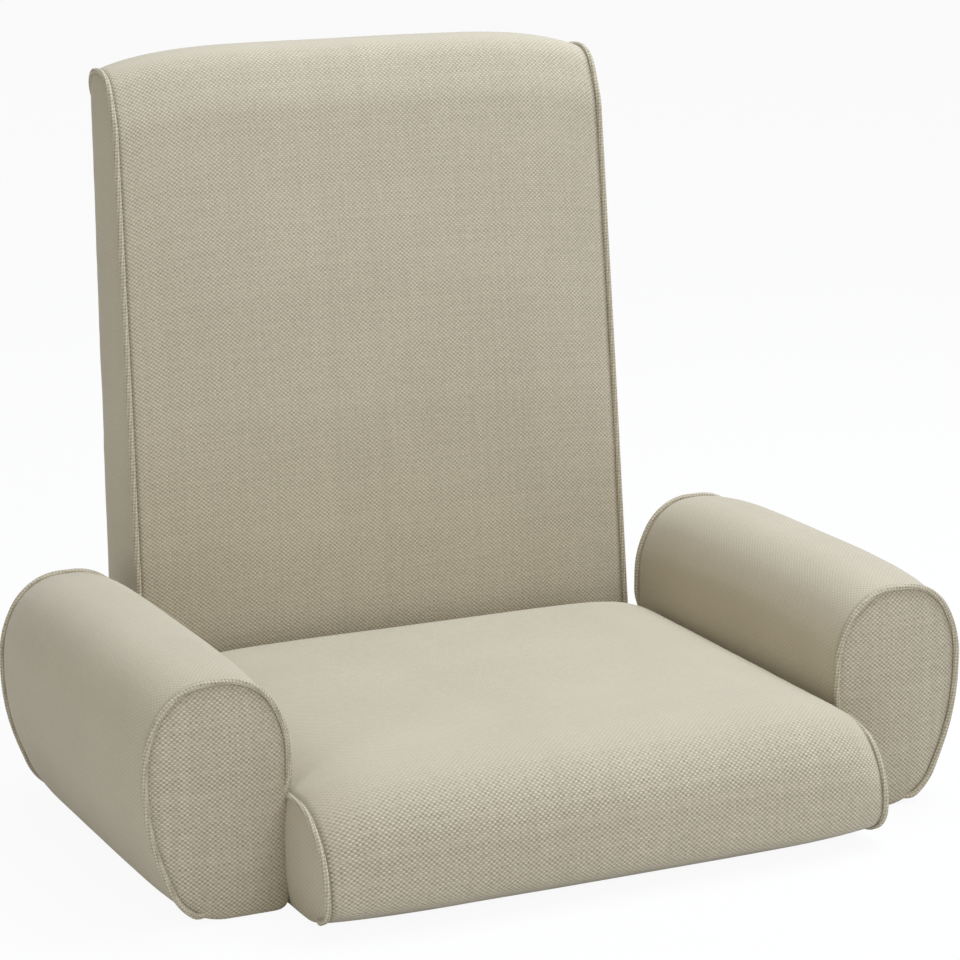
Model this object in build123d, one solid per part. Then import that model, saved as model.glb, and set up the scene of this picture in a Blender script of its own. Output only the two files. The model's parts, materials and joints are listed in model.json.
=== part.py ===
from build123d import *
import os
from math import cos, radians, sin, sqrt, tan

# Legless floor chair: a padded seat on the floor, a reclining padded back and two bolster arms.
# Millimetres. +X is to the right seen from the front, +Y to the rear, +Z up.
# The origin is on the floor under the middle of the chair.

# Upholstery that every cushion shares
COVER = 1.5
FOAM_GAP = 0.3
PIPING_RADIUS = 2.75
PIPING_LIFT = 1.0
PIPING_STANDOFF = 2.0
GROOVE_GAP = 0.2
CROWN_POWER = 5
CROWN_STATIONS = (-1.0, -0.84, -0.45, 0.0, 0.45, 0.84, 1.0)
ARC_ROOM = 0.98

# Seat cushion
SEAT_FRONT = -275.0
SEAT_DEPTH = 419.0
SEAT_WIDTH = 484.0
SEAT_EDGE_HEIGHT = 106.0
SEAT_CROWN = 13.0
SEAT_NOSE_CROWN = 6.0
SEAT_NOSE_RADIUS = 76.0
SEAT_UNDER_RADIUS = 26.0
SEAT_REAR_RADIUS = 40.0
SEAT_HEEL_RADIUS = 14.0
BASE_CLOTH = 1.2
BASE_CLOTH_MARGIN = 34.0
BASE_CLOTH_GAP = 0.3

# Back cushion, measured from the hinge axis
HINGE_TO_SEAT = 45.0
HINGE_HEIGHT = 45.0
BACK_FRONT_REACH = 36.0
BACK_REAR_REACH = 44.0
BACK_FRONT_LEAN = 6.2
BACK_REAR_LEAN = 3.4
BACK_FOOT_DROP = 40.0
BACK_FOOT_RADIUS = 36.0
BACK_HEIGHT = 556.0
BACK_SHOULDER_DROP = 85.0
BACK_SHOULDER_SETBACK = 20.0
BACK_SHOULDER_RADIUS = 150.0
BACK_TOP_RADIUS = 28.0
BACK_REAR_TOP_RADIUS = 11.0
BACK_BELLY_HEIGHT = 260.0
BACK_BELLY = 14.0
BACK_EDGE_BELLY = 1.0
BACK_BELLY_RADIUS = 2400.0
BACK_TOP_CROWN = 19.0
BACK_FOOT_WIDTH = 472.0
BACK_SIDE_TAPER = 0.9

# Bolster arms
ARM_GAP = 9.5
ARM_WIDTH = 112.0
ARM_HEIGHT = 192.0
ARM_LENGTH = 345.0
ARM_SETBACK = 82.0
ARM_TOP_CROWN = 13.0
ARM_SIDE_CROWN = 7.0
ARM_SHOULDER_DROP = 46.0
ARM_SHOULDER_RUN = 24.0
ARM_CHEEK_HEIGHT = 80.0
ARM_TUCK = 32.0
ARM_CORNER_RADIUS = 6.0
ARM_SHOULDER_RADIUS = 82.0
ARM_TOP_RADIUS = 48.0
ARM_CHEEK_RADIUS = 190.0
ARM_TUCK_RADIUS = 48.0
ARM_BOARD = 12.0
ARM_BOARD_TOP = 122.0
ARM_END_PAD = 12.0
ARM_BASE_BOARD_WIDTH = 32.0
BOARD_LIFT = 2.0

# Steel tube frames
TUBE_RADIUS = 9.5
TUBE_WALL = 1.5
TUBE_BEND = 60.0
SEAT_TUBE_FRONT_PAD = 60.0
SEAT_TUBE_END = 55.0
SEAT_TRAY_FLOOR = 0.3
CAVITY_GAP = 1.5
CROSS_TUBES_BEFORE_HINGE = (204.0, 109.0)
BACK_FRAME_LEAN = 5.0
BACK_TUBE_FOOT = 50.0
BACK_TUBE_TOP_PAD = 56.0
BACK_CROSS_HEIGHT = 140.0
COPE_GAP = 0.2

# Elastic straps across the frames
STRAP_WIDTH = 36.0
STRAP_THICKNESS = 2.0
STRAP_GAP = 0.2
STRAP_HOOK = 135.0
BACK_STRAP_FIRST = 185.0
BACK_STRAP_PITCH = 70.0
STRAP_FOAM_GAP = 0.4

# Ratchet hinges
RATCHET_X = 196.0
RATCHET_PLATE = 5.0
RATCHET_TIP = 24.0
RATCHET_ROOT = 21.5
RATCHET_STEP = 6.0
STEPS_FORWARD = 2
STEPS_BACK = 14
CLICK_ANGLE = 80.0
FLANK_ROOT = 0.6
FLANK_TIP = 1.6
RATCHET_ARM_REACH = 124.0
RATCHET_ARM_HEIGHT = 18.0
CASE_PLATE = 2.5
PLATE_GAP = 0.3
CASE_HEAD = 25.0
CASE_FOOT = 20.0
CASE_HEAD_TOP = 48.0
CASE_NECK_BOTTOM = 66.0
CASE_NECK = 13.0
CASE_TOP = 112.0
CASE_POCKET_GAP = 3.0
PIVOT_RADIUS = 5.0
PIVOT_HEAD = 8.0
PIVOT_HEAD_HEIGHT = 2.0
RUNNING_GAP = 0.05
RIVET_RADIUS = 3.0
RIVET_HEAD = 5.5
RIVET_HEAD_HEIGHT = 2.0
RIVET_GAP = 0.1
SEAT_RIVETS_BEFORE_HINGE = (89.0, 65.0)
BACK_RIVET_HEIGHTS = (76.0, 98.0)
COLLAR_RADIUS = 5.0
PAWL_PIN_RADIUS = 2.5
PAWL_PIN_HEAD = 4.5
PAWL_PIN_HEAD_HEIGHT = 1.5
PAWL_PIVOT_REACH = 30.5
PAWL_PIVOT_ANGLE = 40.0
PAWL_BOSS = 5.5
PAWL_LIFT = 12.0
NOSE_GAP = 0.4
SPRING_THICKNESS = 0.8
SPRING_WIDTH = 4.0
SPRING_RING = 1.0
SPRING_GAP = 0.4
SLOT_SIDE_GAP = 1.5
SLOT_END_GAP = 2.0
SWEEP_FORWARD = 30.0
SWEEP_BACK = 32.0
SWEEP_REACH = 70.0

# Knock-down bolts that hold the arms
BOLT_RADIUS = 4.0
BOLT_GAP = 0.2
BOLT_HEAD = 7.5
BOLT_HEAD_HEIGHT = 5.3
BOLT_TIP = 5.0
WASHER_RADIUS = 8.0
WASHER = 1.6
SPACER_RADIUS = 7.0
TEE_FLANGE = 10.0
TEE_FLANGE_HEIGHT = 1.5
TEE_BARREL = 5.2
TEE_BARREL_HEIGHT = 9.0
TEE_POCKET_GAP = 1.0

# Cloth strip that closes the crease
GUSSET = 1.2
GUSSET_WIDTH = 350.0
GUSSET_TOP = 70.0
GUSSET_BOTTOM = 26.0
GUSSET_SEAT_GAP = 0.4
GUSSET_SPREAD = 5.4

# Places that follow from the sizes above
SEAT_REAR = SEAT_FRONT + SEAT_DEPTH
SEAT_SIDE = SEAT_WIDTH / 2
HINGE_Y = SEAT_REAR + HINGE_TO_SEAT
FOAM = COVER + FOAM_GAP
ARM_INNER = SEAT_SIDE + ARM_GAP
ARM_FRONT = SEAT_FRONT + ARM_SETBACK
ARM_REAR = ARM_FRONT + ARM_LENGTH
SEAT_TUBE_X = RATCHET_X + RATCHET_PLATE / 2 + TUBE_RADIUS
SEAT_TUBE_FRONT = SEAT_FRONT + SEAT_TUBE_FRONT_PAD
SEAT_TUBE_REAR = HINGE_Y - SEAT_TUBE_END
CASE_OFFSET = RATCHET_PLATE / 2 + PLATE_GAP
CASE_OUTER = CASE_OFFSET + CASE_PLATE
BACK_TUBE_X = RATCHET_X + CASE_OUTER + TUBE_RADIUS
STRAP_INNER = TUBE_RADIUS + STRAP_GAP
STRAP_OUTER = STRAP_INNER + STRAP_THICKNESS
FOAM_SPLIT = STRAP_OUTER + STRAP_FOAM_GAP
BOARD_INNER = ARM_INNER + FOAM
BOARD_OUTER = BOARD_INNER + ARM_BOARD
BASE_BOARD_TOP = BOARD_LIFT + ARM_BOARD
BACK_TUBE_TOP = BACK_HEIGHT - BACK_TUBE_TOP_PAD
CROSS_TUBE_Y = [HINGE_Y - reach for reach in CROSS_TUBES_BEFORE_HINGE]
SEAT_RIVET_Y = [HINGE_Y - reach for reach in SEAT_RIVETS_BEFORE_HINGE]

ACROSS = Plane.YZ
HINGE_PLANE = Plane(origin=(0, HINGE_Y, HINGE_HEIGHT), x_dir=(0, 1, 0), z_dir=(1, 0, 0))
FRAME_TURN = radians(BACK_FRAME_LEAN)
BACK_PLANE = Plane(
    origin=(0, HINGE_Y, HINGE_HEIGHT),
    x_dir=(1, 0, 0),
    z_dir=(0, -cos(FRAME_TURN), sin(FRAME_TURN)),
)


# Outlines and small shared shapes
def moved_in(points, inset):
    """The corners of a closed outline, given clockwise, with every side moved in by inset."""
    count = len(points)
    lines = []
    for index in range(count):
        y0, z0 = points[index]
        y1, z1 = points[(index + 1) % count]
        run = sqrt((y1 - y0) ** 2 + (z1 - z0) ** 2)
        along = ((y1 - y0) / run, (z1 - z0) / run)
        lines.append(((y0 + along[1] * inset, z0 - along[0] * inset), along))
    corners = []
    for index in range(count):
        (ay, az), (by, bz) = lines[index - 1]
        (cy, cz), (dy, dz) = lines[index]
        cross = by * dz - bz * dy
        step = ((cy - ay) * dz - (cz - az) * dy) / cross
        corners.append((ay + by * step, az + bz * step))
    return corners


def rounded(points, radii):
    """A closed line of straight runs and tangent arcs, each arc kept small enough for its two runs."""
    corners = [Vector(*point) for point in points]
    runs = [end - start for start, end in zip(corners, corners[1:] + corners[:1])]
    turns = [runs[index - 1].get_angle(run) for index, run in enumerate(runs)]
    tangents = [radius * tan(radians(turn / 2)) for radius, turn in zip(radii, turns)]
    needs = [first + second for first, second in zip(tangents, tangents[1:] + tangents[:1])]
    shares = [min(1, ARC_ROOM * run.length / need) for run, need in zip(runs, needs)]
    fitted = [radius * min(shares[index - 1], shares[index]) for index, radius in enumerate(radii)]
    return FilletPolyline(*points, radius=fitted, close=True)


def outline(plane, points, radii):
    """A face bounded by straight runs and tangent arcs."""
    return plane * make_face(rounded(points, radii))


def cushion(section, inset):
    """A cushion lofted through its cross-sections, with its skin moved in by inset."""
    return loft([section(station, inset) for station in CROWN_STATIONS])


def crown_share(station):
    """How much of the full crown a station has: none at the piped edges, all in the middle."""
    return 1 - abs(station) ** CROWN_POWER


def piping(plane, points, radii, radius):
    """A piping cord along a cushion's edge."""
    path = plane * rounded(points, radii)
    start = Plane(origin=path @ 0, z_dir=path % 0)
    return sweep(start * Circle(radius), path=path)


def off_floor(points):
    """Piping corners lifted so that the cord lies on the floor and not in it."""
    return [(across, max(height, PIPING_RADIUS)) for across, height in points]


def rod(x0, x1, y, z, radius):
    """A round bar along X."""
    bar = Cylinder(radius, x1 - x0, align=(Align.CENTER, Align.CENTER, Align.MIN))
    return Pos(x0, y, z) * Rot(0, 90, 0) * bar


def block(x0, x1, y0, y1, z0, z1):
    """A block between two corners."""
    corner = (Align.MIN, Align.MIN, Align.MIN)
    return Pos(x0, y0, z0) * Box(x1 - x0, y1 - y0, z1 - z0, align=corner)


def left_of(shape):
    """The same piece on the other side of the chair."""
    return mirror(shape, about=ACROSS)


def both(shape):
    """A right-hand piece with its left-hand twin."""
    return shape.solids() + left_of(shape).solids()


def polar(reach, angle):
    """A point in the hinge's plane."""
    return (reach * cos(radians(angle)), reach * sin(radians(angle)))


def tube(path):
    """A round steel tube along a path."""
    start = Plane(origin=path @ 0, z_dir=path % 0)
    outer = sweep(start * Circle(TUBE_RADIUS), path=path)
    return outer - sweep(start * Circle(TUBE_RADIUS - TUBE_WALL), path=path)


def strap_profile(half_span):
    """A strap that hooks round the outside of two tubes, drawn about the tubes' centre line."""
    hook_end = 90 + STRAP_HOOK
    left = (-half_span, 0)
    right = (half_span, 0)
    outer_left = CenterArc(left, STRAP_OUTER, 90, STRAP_HOOK)
    inner_left = CenterArc(left, STRAP_INNER, 90, STRAP_HOOK)
    outer_right = CenterArc(right, STRAP_OUTER, 90 - STRAP_HOOK, STRAP_HOOK)
    inner_right = CenterArc(right, STRAP_INNER, 90 - STRAP_HOOK, STRAP_HOOK)
    end = (cos(radians(hook_end)), sin(radians(hook_end)))
    tips = [
        Line(
            (side * (half_span - end[0] * STRAP_INNER), end[1] * STRAP_INNER),
            (side * (half_span - end[0] * STRAP_OUTER), end[1] * STRAP_OUTER),
        )
        for side in (-1, 1)
    ]
    spans = [Line((-half_span, reach), (half_span, reach)) for reach in (STRAP_INNER, STRAP_OUTER)]
    return make_face([outer_left, inner_left, outer_right, inner_right, *tips, *spans])


# Seat cushion
def seat_corners(crown):
    front = SEAT_FRONT - crown * SEAT_NOSE_CROWN
    top = SEAT_EDGE_HEIGHT + crown * SEAT_CROWN
    return [(front, 0), (front, top), (SEAT_REAR, top), (SEAT_REAR, 0)]


def seat_radii(inset):
    sizes = (SEAT_UNDER_RADIUS, SEAT_NOSE_RADIUS, SEAT_REAR_RADIUS, SEAT_HEEL_RADIUS)
    return [size - inset for size in sizes]


def seat_section(station, inset):
    place = Plane(origin=(station * (SEAT_SIDE - inset), 0, 0), x_dir=(0, 1, 0), z_dir=(1, 0, 0))
    corners = moved_in(seat_corners(crown_share(station)), inset)
    return outline(place, corners, seat_radii(inset))


def seat_piping(radius):
    place = Plane(origin=(SEAT_SIDE + PIPING_STANDOFF, 0, 0), x_dir=(0, 1, 0), z_dir=(1, 0, 0))
    corners = off_floor(moved_in(seat_corners(0), -PIPING_LIFT))
    return piping(place, corners, seat_radii(-PIPING_LIFT), radius)


def base_cloth(gap, depth):
    """The lining under the seat, or the opening for it."""
    half_width = SEAT_SIDE - BASE_CLOTH_MARGIN + gap
    front = SEAT_FRONT + BASE_CLOTH_MARGIN - gap
    rear = SEAT_REAR - BASE_CLOTH_MARGIN + gap
    return block(-half_width, half_width, front, rear, 0, depth)


def hinge_slot():
    """The way out of the seat's rear for the right-hand ratchet arm."""
    half = RATCHET_PLATE / 2 + SLOT_SIDE_GAP
    rise = RATCHET_ARM_HEIGHT / 2 + SLOT_END_GAP
    return block(
        RATCHET_X - half,
        RATCHET_X + half,
        SEAT_TUBE_REAR,
        HINGE_Y,
        HINGE_HEIGHT - rise,
        HINGE_HEIGHT + rise,
    )


def spread_along_tube():
    """Places of the seat straps and arm bolts, evenly spaced between the tube's bend and the first rivet."""
    widths = [STRAP_WIDTH, 2 * SPACER_RADIUS, STRAP_WIDTH, STRAP_WIDTH, 2 * SPACER_RADIUS, STRAP_WIDTH]
    start = SEAT_TUBE_FRONT + TUBE_BEND
    end = SEAT_RIVET_Y[0] - RIVET_HEAD
    space = (end - start - sum(widths)) / (len(widths) + 1)
    straps, bolts = [], []
    for width in widths:
        places = straps if width == STRAP_WIDTH else bolts
        places.append(start + space + width / 2)
        start += space + width
    return straps, bolts


SEAT_STRAP_Y, BOLT_Y = spread_along_tube()


def bolt_holes(radius):
    """Clearance for the right-hand arm bolts and their sleeves."""
    return [rod(SEAT_TUBE_X, BOARD_INNER, y, HINGE_HEIGHT, radius) for y in BOLT_Y]


def seat_cover():
    shell = cushion(seat_section, 0) - cushion(seat_section, COVER)
    right_cuts = [seat_piping(PIPING_RADIUS + GROOVE_GAP), hinge_slot()]
    right_cuts += bolt_holes(SPACER_RADIUS + BOLT_GAP)
    for cut in right_cuts:
        shell = shell - cut - left_of(cut)
    return shell - base_cloth(BASE_CLOTH_GAP, COVER)


def seat_cavity():
    """The tray in the lower foam that the frame lies in."""
    half_width = SEAT_TUBE_X + STRAP_OUTER + CAVITY_GAP
    front = SEAT_TUBE_FRONT - TUBE_RADIUS - CAVITY_GAP
    rear = SEAT_TUBE_REAR + CAVITY_GAP
    floor = HINGE_HEIGHT - TUBE_RADIUS - SEAT_TRAY_FLOOR
    return block(-half_width, half_width, front, rear, floor, SEAT_EDGE_HEIGHT)


def seat_foams():
    body = cushion(seat_section, FOAM)
    level = Plane.XY.offset(HINGE_HEIGHT + FOAM_SPLIT)
    upper = split(body, bisect_by=level, keep=Keep.TOP)
    lower = split(body, bisect_by=level, keep=Keep.BOTTOM) - seat_cavity()
    for cut in [hinge_slot()] + bolt_holes(SPACER_RADIUS + BOLT_GAP):
        lower = lower - cut - left_of(cut)
    return upper, lower


def seat_frame():
    corners = [
        (-SEAT_TUBE_X, SEAT_TUBE_REAR),
        (-SEAT_TUBE_X, SEAT_TUBE_FRONT),
        (SEAT_TUBE_X, SEAT_TUBE_FRONT),
        (SEAT_TUBE_X, SEAT_TUBE_REAR),
    ]
    path = Plane.XY.offset(HINGE_HEIGHT) * FilletPolyline(*corners, radius=TUBE_BEND)
    frame = tube(path)
    holes = [rod(RATCHET_X, ARM_INNER, y, HINGE_HEIGHT, BOLT_RADIUS + BOLT_GAP) for y in BOLT_Y]
    holes += [rod(RATCHET_X, ARM_INNER, y, HINGE_HEIGHT, RIVET_RADIUS + RIVET_GAP) for y in SEAT_RIVET_Y]
    for hole in holes:
        frame = frame - hole - left_of(hole)
    return frame


def seat_cross_tubes():
    """A front tube coped to the side tubes and a rear tube butted on the ratchet arms."""
    coped = SEAT_TUBE_X
    butted = RATCHET_X - RATCHET_PLATE / 2
    tubes = []
    for y, reach in zip(CROSS_TUBE_Y, (coped, butted)):
        outer = rod(-reach, reach, y, HINGE_HEIGHT, TUBE_RADIUS)
        tubes.append(outer - rod(-reach, reach, y, HINGE_HEIGHT, TUBE_RADIUS - TUBE_WALL))
    side = Cylinder(TUBE_RADIUS + COPE_GAP, 4 * TUBE_RADIUS)
    side = Pos(SEAT_TUBE_X, CROSS_TUBE_Y[0], HINGE_HEIGHT) * Rot(90, 0, 0) * side
    tubes[0] = tubes[0] - side - left_of(side)
    return [solid for shape in tubes for solid in shape.solids()]


def seat_straps():
    straps = []
    for y in SEAT_STRAP_Y:
        place = Plane(origin=(0, y, HINGE_HEIGHT), x_dir=(1, 0, 0), z_dir=(0, -1, 0))
        straps += extrude(place * strap_profile(SEAT_TUBE_X), STRAP_WIDTH / 2, both=True).solids()
    return straps


# Ratchet hinge, right-hand side
def in_hinge_plane(sketch, x0, x1):
    """A plate cut to a sketch in the hinge's plane, between two places across the chair."""
    return extrude(Pos(x0, 0, 0) * (HINGE_PLANE * sketch), x1 - x0, dir=(1, 0, 0))


def ratchet_plate():
    """The toothed plate with its arm along the seat tube."""
    rim = []
    for step in range(-STEPS_FORWARD, STEPS_BACK + 1):
        click = CLICK_ANGLE - step * RATCHET_STEP
        rim.append(polar(RATCHET_TIP, click + RATCHET_STEP - FLANK_TIP))
        rim.append(polar(RATCHET_ROOT, click - FLANK_ROOT))
    rim.append(polar(RATCHET_TIP, click - FLANK_TIP))
    teeth = make_face(Polyline((0, 0), *rim, close=True))
    arm = Rectangle(RATCHET_ARM_REACH, RATCHET_ARM_HEIGHT, align=(Align.MAX, Align.CENTER))
    sketch = Circle(RATCHET_ROOT) + teeth + arm - Circle(PIVOT_RADIUS + RUNNING_GAP)
    for y in SEAT_RIVET_Y:
        sketch = sketch - Pos(y - HINGE_Y, 0) * Circle(RIVET_RADIUS + RIVET_GAP)
    half = RATCHET_PLATE / 2
    return in_hinge_plane(sketch, RATCHET_X - half, RATCHET_X + half)


def seat_rivets():
    """Rivets that hold the ratchet arm to the seat tube."""
    inner = RATCHET_X - RATCHET_PLATE / 2
    outer = SEAT_TUBE_X + TUBE_RADIUS
    return [rivet(inner, outer, y, HINGE_HEIGHT) for y in SEAT_RIVET_Y]


def rivet(inner, outer, y, z):
    shank = rod(inner, outer, y, z, RIVET_RADIUS)
    heads = rod(inner - RIVET_HEAD_HEIGHT, inner, y, z, RIVET_HEAD)
    heads = heads + rod(outer, outer + RIVET_HEAD_HEIGHT, y, z, RIVET_HEAD)
    return shank + heads


def along_back(height, forward=0.0):
    """A point at a height up the back frame, in the hinge's plane."""
    return (
        height * sin(FRAME_TURN) - forward * cos(FRAME_TURN),
        height * cos(FRAME_TURN) + forward * sin(FRAME_TURN),
    )


def case_outline(gap):
    """The outline of the hinge case's two plates."""
    right = [
        (CASE_HEAD + gap, -CASE_FOOT - gap),
        (CASE_HEAD + gap, CASE_HEAD_TOP + gap),
        (CASE_NECK + gap, CASE_NECK_BOTTOM + gap),
        (CASE_NECK + gap, CASE_TOP + gap),
    ]
    corners = right + [(-across, height) for across, height in reversed(right)]
    radii = [CASE_FOOT, CASE_NECK, CASE_NECK, CASE_NECK / 2]
    line = FilletPolyline(*corners, radius=radii + radii[::-1], close=True)
    return Rot(0, 0, -BACK_FRAME_LEAN) * make_face(line)


def pawl_pivot():
    return polar(PAWL_PIVOT_REACH, CLICK_ANGLE + PAWL_PIVOT_ANGLE)


def hinge_case():
    """The two plates that turn about the ratchet and carry the pawl."""
    sketch = case_outline(0) - Circle(PIVOT_RADIUS + RUNNING_GAP)
    sketch = sketch - Pos(*pawl_pivot()) * Circle(PAWL_PIN_RADIUS + RUNNING_GAP)
    for height in BACK_RIVET_HEIGHTS:
        sketch = sketch - Pos(*along_back(height)) * Circle(RIVET_RADIUS + RIVET_GAP)
    plates = []
    for near in (-CASE_OUTER, CASE_OFFSET):
        plates.append(in_hinge_plane(sketch, RATCHET_X + near, RATCHET_X + near + CASE_PLATE))
    return plates


def pivot_pin():
    pin = rod(RATCHET_X - CASE_OUTER, RATCHET_X + CASE_OUTER, HINGE_Y, HINGE_HEIGHT, PIVOT_RADIUS)
    for near in (-CASE_OUTER - PIVOT_HEAD_HEIGHT, CASE_OUTER):
        x = RATCHET_X + near
        pin = pin + rod(x, x + PIVOT_HEAD_HEIGHT, HINGE_Y, HINGE_HEIGHT, PIVOT_HEAD)
    return pin


def pawl_pin():
    across, height = pawl_pivot()
    y = HINGE_Y + across
    z = HINGE_HEIGHT + height
    pin = rod(RATCHET_X - CASE_OUTER, RATCHET_X + CASE_OUTER, y, z, PAWL_PIN_RADIUS)
    for near in (-CASE_OUTER - PAWL_PIN_HEAD_HEIGHT, CASE_OUTER):
        x = RATCHET_X + near
        pin = pin + rod(x, x + PAWL_PIN_HEAD_HEIGHT, y, z, PAWL_PIN_HEAD)
    return pin


def pawl_corners():
    """Corners of the pawl's finger with its nose dropped into a tooth gap."""
    away = CLICK_ANGLE + PAWL_PIVOT_ANGLE
    return [
        polar(RATCHET_ROOT + NOSE_GAP, CLICK_ANGLE - FLANK_ROOT / 3),
        polar(RATCHET_TIP + 2 * NOSE_GAP, CLICK_ANGLE + RATCHET_STEP - FLANK_TIP),
        polar(PAWL_PIVOT_REACH - PAWL_BOSS / 2, away),
        polar(PAWL_PIVOT_REACH + PAWL_BOSS / 2, away),
        polar(RATCHET_TIP + PAWL_BOSS, CLICK_ANGLE - FLANK_ROOT),
    ]


def lifted(sketch):
    """A sketch of the pawl turned about its pin, just clear of the teeth, as it is stored."""
    pivot = pawl_pivot()
    return Pos(*pivot) * Rot(0, 0, PAWL_LIFT) * Pos(-pivot[0], -pivot[1]) * sketch


def pawl():
    pivot = Pos(*pawl_pivot())
    sketch = make_face(Polyline(*pawl_corners(), close=True)) + pivot * Circle(PAWL_BOSS)
    sketch = sketch - pivot * Circle(PAWL_PIN_RADIUS + RUNNING_GAP)
    half = RATCHET_PLATE / 2
    return in_hinge_plane(lifted(sketch), RATCHET_X - half, RATCHET_X + half)


def pawl_spring():
    """A leaf with an eye round the lower rivet's collar, its tip just above the lifted pawl."""
    eye = Vector(*along_back(BACK_RIVET_HEIGHTS[0]))
    bore = COLLAR_RADIUS + RIVET_GAP
    finger = lifted(Line(*pawl_corners()[-2:]))
    tip = finger @ 0.5 + Vector(0, SPRING_THICKNESS / 2 + SPRING_GAP)
    turn = Vector(1, 0).get_signed_angle(eye - tip, Vector(0, 0, 1))
    leaf = Rectangle((eye - tip).length, SPRING_THICKNESS, align=(Align.MIN, Align.CENTER))
    place = Pos(eye.X, eye.Y)
    sketch = place * Circle(bore + SPRING_RING) + Pos(tip.X, tip.Y) * Rot(0, 0, turn) * leaf
    sketch = sketch - place * Circle(bore)
    half = SPRING_WIDTH / 2
    return in_hinge_plane(sketch, RATCHET_X - half, RATCHET_X + half)


def back_rivets():
    """Rivets through both case plates and the back tube, with a collar between the plates."""
    rivets = []
    inner = RATCHET_X - CASE_OUTER
    outer = BACK_TUBE_X + TUBE_RADIUS
    for height in BACK_RIVET_HEIGHTS:
        across, rise = along_back(height)
        y = HINGE_Y + across
        z = HINGE_HEIGHT + rise
        collar = rod(RATCHET_X - CASE_OFFSET, RATCHET_X + CASE_OFFSET, y, z, COLLAR_RADIUS)
        rivets.append(rivet(inner, outer, y, z) + collar)
    return rivets


def case_pocket():
    """Room in the back's foam for the hinge case and the heads of its pins."""
    reach = CASE_OUTER + CASE_POCKET_GAP
    return in_hinge_plane(case_outline(CASE_POCKET_GAP), RATCHET_X - reach, RATCHET_X + reach)


def arm_sweep():
    """The fan that the ratchet arm sweeps through the back's lower end as the back reclines."""
    start = 180 - STEPS_FORWARD * RATCHET_STEP - SWEEP_FORWARD
    turn = (STEPS_FORWARD + STEPS_BACK) * RATCHET_STEP + SWEEP_FORWARD + SWEEP_BACK
    first = polar(SWEEP_REACH, start)
    last = polar(SWEEP_REACH, start + turn)
    fan = make_face([CenterArc((0, 0), SWEEP_REACH, start, turn), Line((0, 0), first), Line(last, (0, 0))])
    half = RATCHET_PLATE / 2 + SLOT_SIDE_GAP
    return in_hinge_plane(fan, RATCHET_X - half, RATCHET_X + half)


# Back cushion
def back_corners(crown):
    """Corners of the back's side outline about the hinge axis, clockwise from the front of its foot."""
    lean = tan(radians(BACK_FRONT_LEAN))
    rear_lean = tan(radians(BACK_REAR_LEAN))
    shoulder = BACK_HEIGHT - BACK_SHOULDER_DROP
    top = BACK_HEIGHT + crown * BACK_TOP_CROWN
    belly = BACK_EDGE_BELLY + crown * BACK_BELLY
    return [
        (-BACK_FRONT_REACH - BACK_FOOT_DROP * lean, -BACK_FOOT_DROP),
        (-BACK_FRONT_REACH + BACK_BELLY_HEIGHT * lean - belly, BACK_BELLY_HEIGHT),
        (-BACK_FRONT_REACH + shoulder * lean, shoulder + crown * BACK_TOP_CROWN),
        (-BACK_FRONT_REACH + BACK_HEIGHT * lean + BACK_SHOULDER_SETBACK, top),
        (BACK_REAR_REACH + BACK_HEIGHT * rear_lean, top),
        (BACK_REAR_REACH - BACK_FOOT_DROP * rear_lean, -BACK_FOOT_DROP),
    ]


def back_radii(inset):
    sizes = (
        BACK_FOOT_RADIUS,
        BACK_BELLY_RADIUS,
        BACK_SHOULDER_RADIUS,
        BACK_TOP_RADIUS,
        BACK_REAR_TOP_RADIUS,
        BACK_FOOT_RADIUS,
    )
    return [size - inset for size in sizes]


def back_side(station, inset):
    """The plane of a cross-section, which leans in with the back's sides."""
    return Plane(
        origin=(station * (BACK_FOOT_WIDTH / 2 - inset), HINGE_Y, HINGE_HEIGHT),
        x_dir=(0, 1, 0),
        z_dir=(1, 0, station * tan(radians(BACK_SIDE_TAPER))),
    )


def back_section(station, inset):
    corners = moved_in(back_corners(crown_share(station)), inset)
    return outline(back_side(station, inset), corners, back_radii(inset))


def back_piping(radius):
    corners = moved_in(back_corners(0), -PIPING_LIFT)
    return piping(back_side(1, -PIPING_STANDOFF), corners, back_radii(-PIPING_LIFT), radius)


def back_cover():
    shell = cushion(back_section, 0) - cushion(back_section, COVER)
    for cut in (back_piping(PIPING_RADIUS + GROOVE_GAP), arm_sweep()):
        shell = shell - cut - left_of(cut)
    return shell


def back_cavity():
    """The tray in the rear foam that the back frame lies in."""
    half_width = BACK_TUBE_X + STRAP_OUTER + CAVITY_GAP
    height = BACK_TUBE_TOP + TUBE_RADIUS + CAVITY_GAP
    depth = FOAM_SPLIT + TUBE_RADIUS + SEAT_TRAY_FLOOR
    tray = Box(2 * half_width, height, depth, align=(Align.CENTER, Align.MIN, Align.MAX))
    return BACK_PLANE * (Pos(0, 0, FOAM_SPLIT) * tray)


def back_foams():
    body = cushion(back_section, FOAM)
    for cut in (case_pocket(), arm_sweep()):
        body = body - cut - left_of(cut)
    divide = BACK_PLANE.offset(FOAM_SPLIT)
    front = split(body, bisect_by=divide, keep=Keep.TOP)
    rear = split(body, bisect_by=divide, keep=Keep.BOTTOM) - back_cavity()
    return front, rear


def back_frame():
    corners = [
        (-BACK_TUBE_X, BACK_TUBE_FOOT),
        (-BACK_TUBE_X, BACK_TUBE_TOP),
        (BACK_TUBE_X, BACK_TUBE_TOP),
        (BACK_TUBE_X, BACK_TUBE_FOOT),
    ]
    frame = tube(BACK_PLANE * FilletPolyline(*corners, radius=TUBE_BEND))
    for height in BACK_RIVET_HEIGHTS:
        across, rise = along_back(height)
        y = HINGE_Y + across
        hole = rod(RATCHET_X, ARM_INNER, y, HINGE_HEIGHT + rise, RIVET_RADIUS + RIVET_GAP)
        frame = frame - hole - left_of(hole)
    return frame


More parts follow.
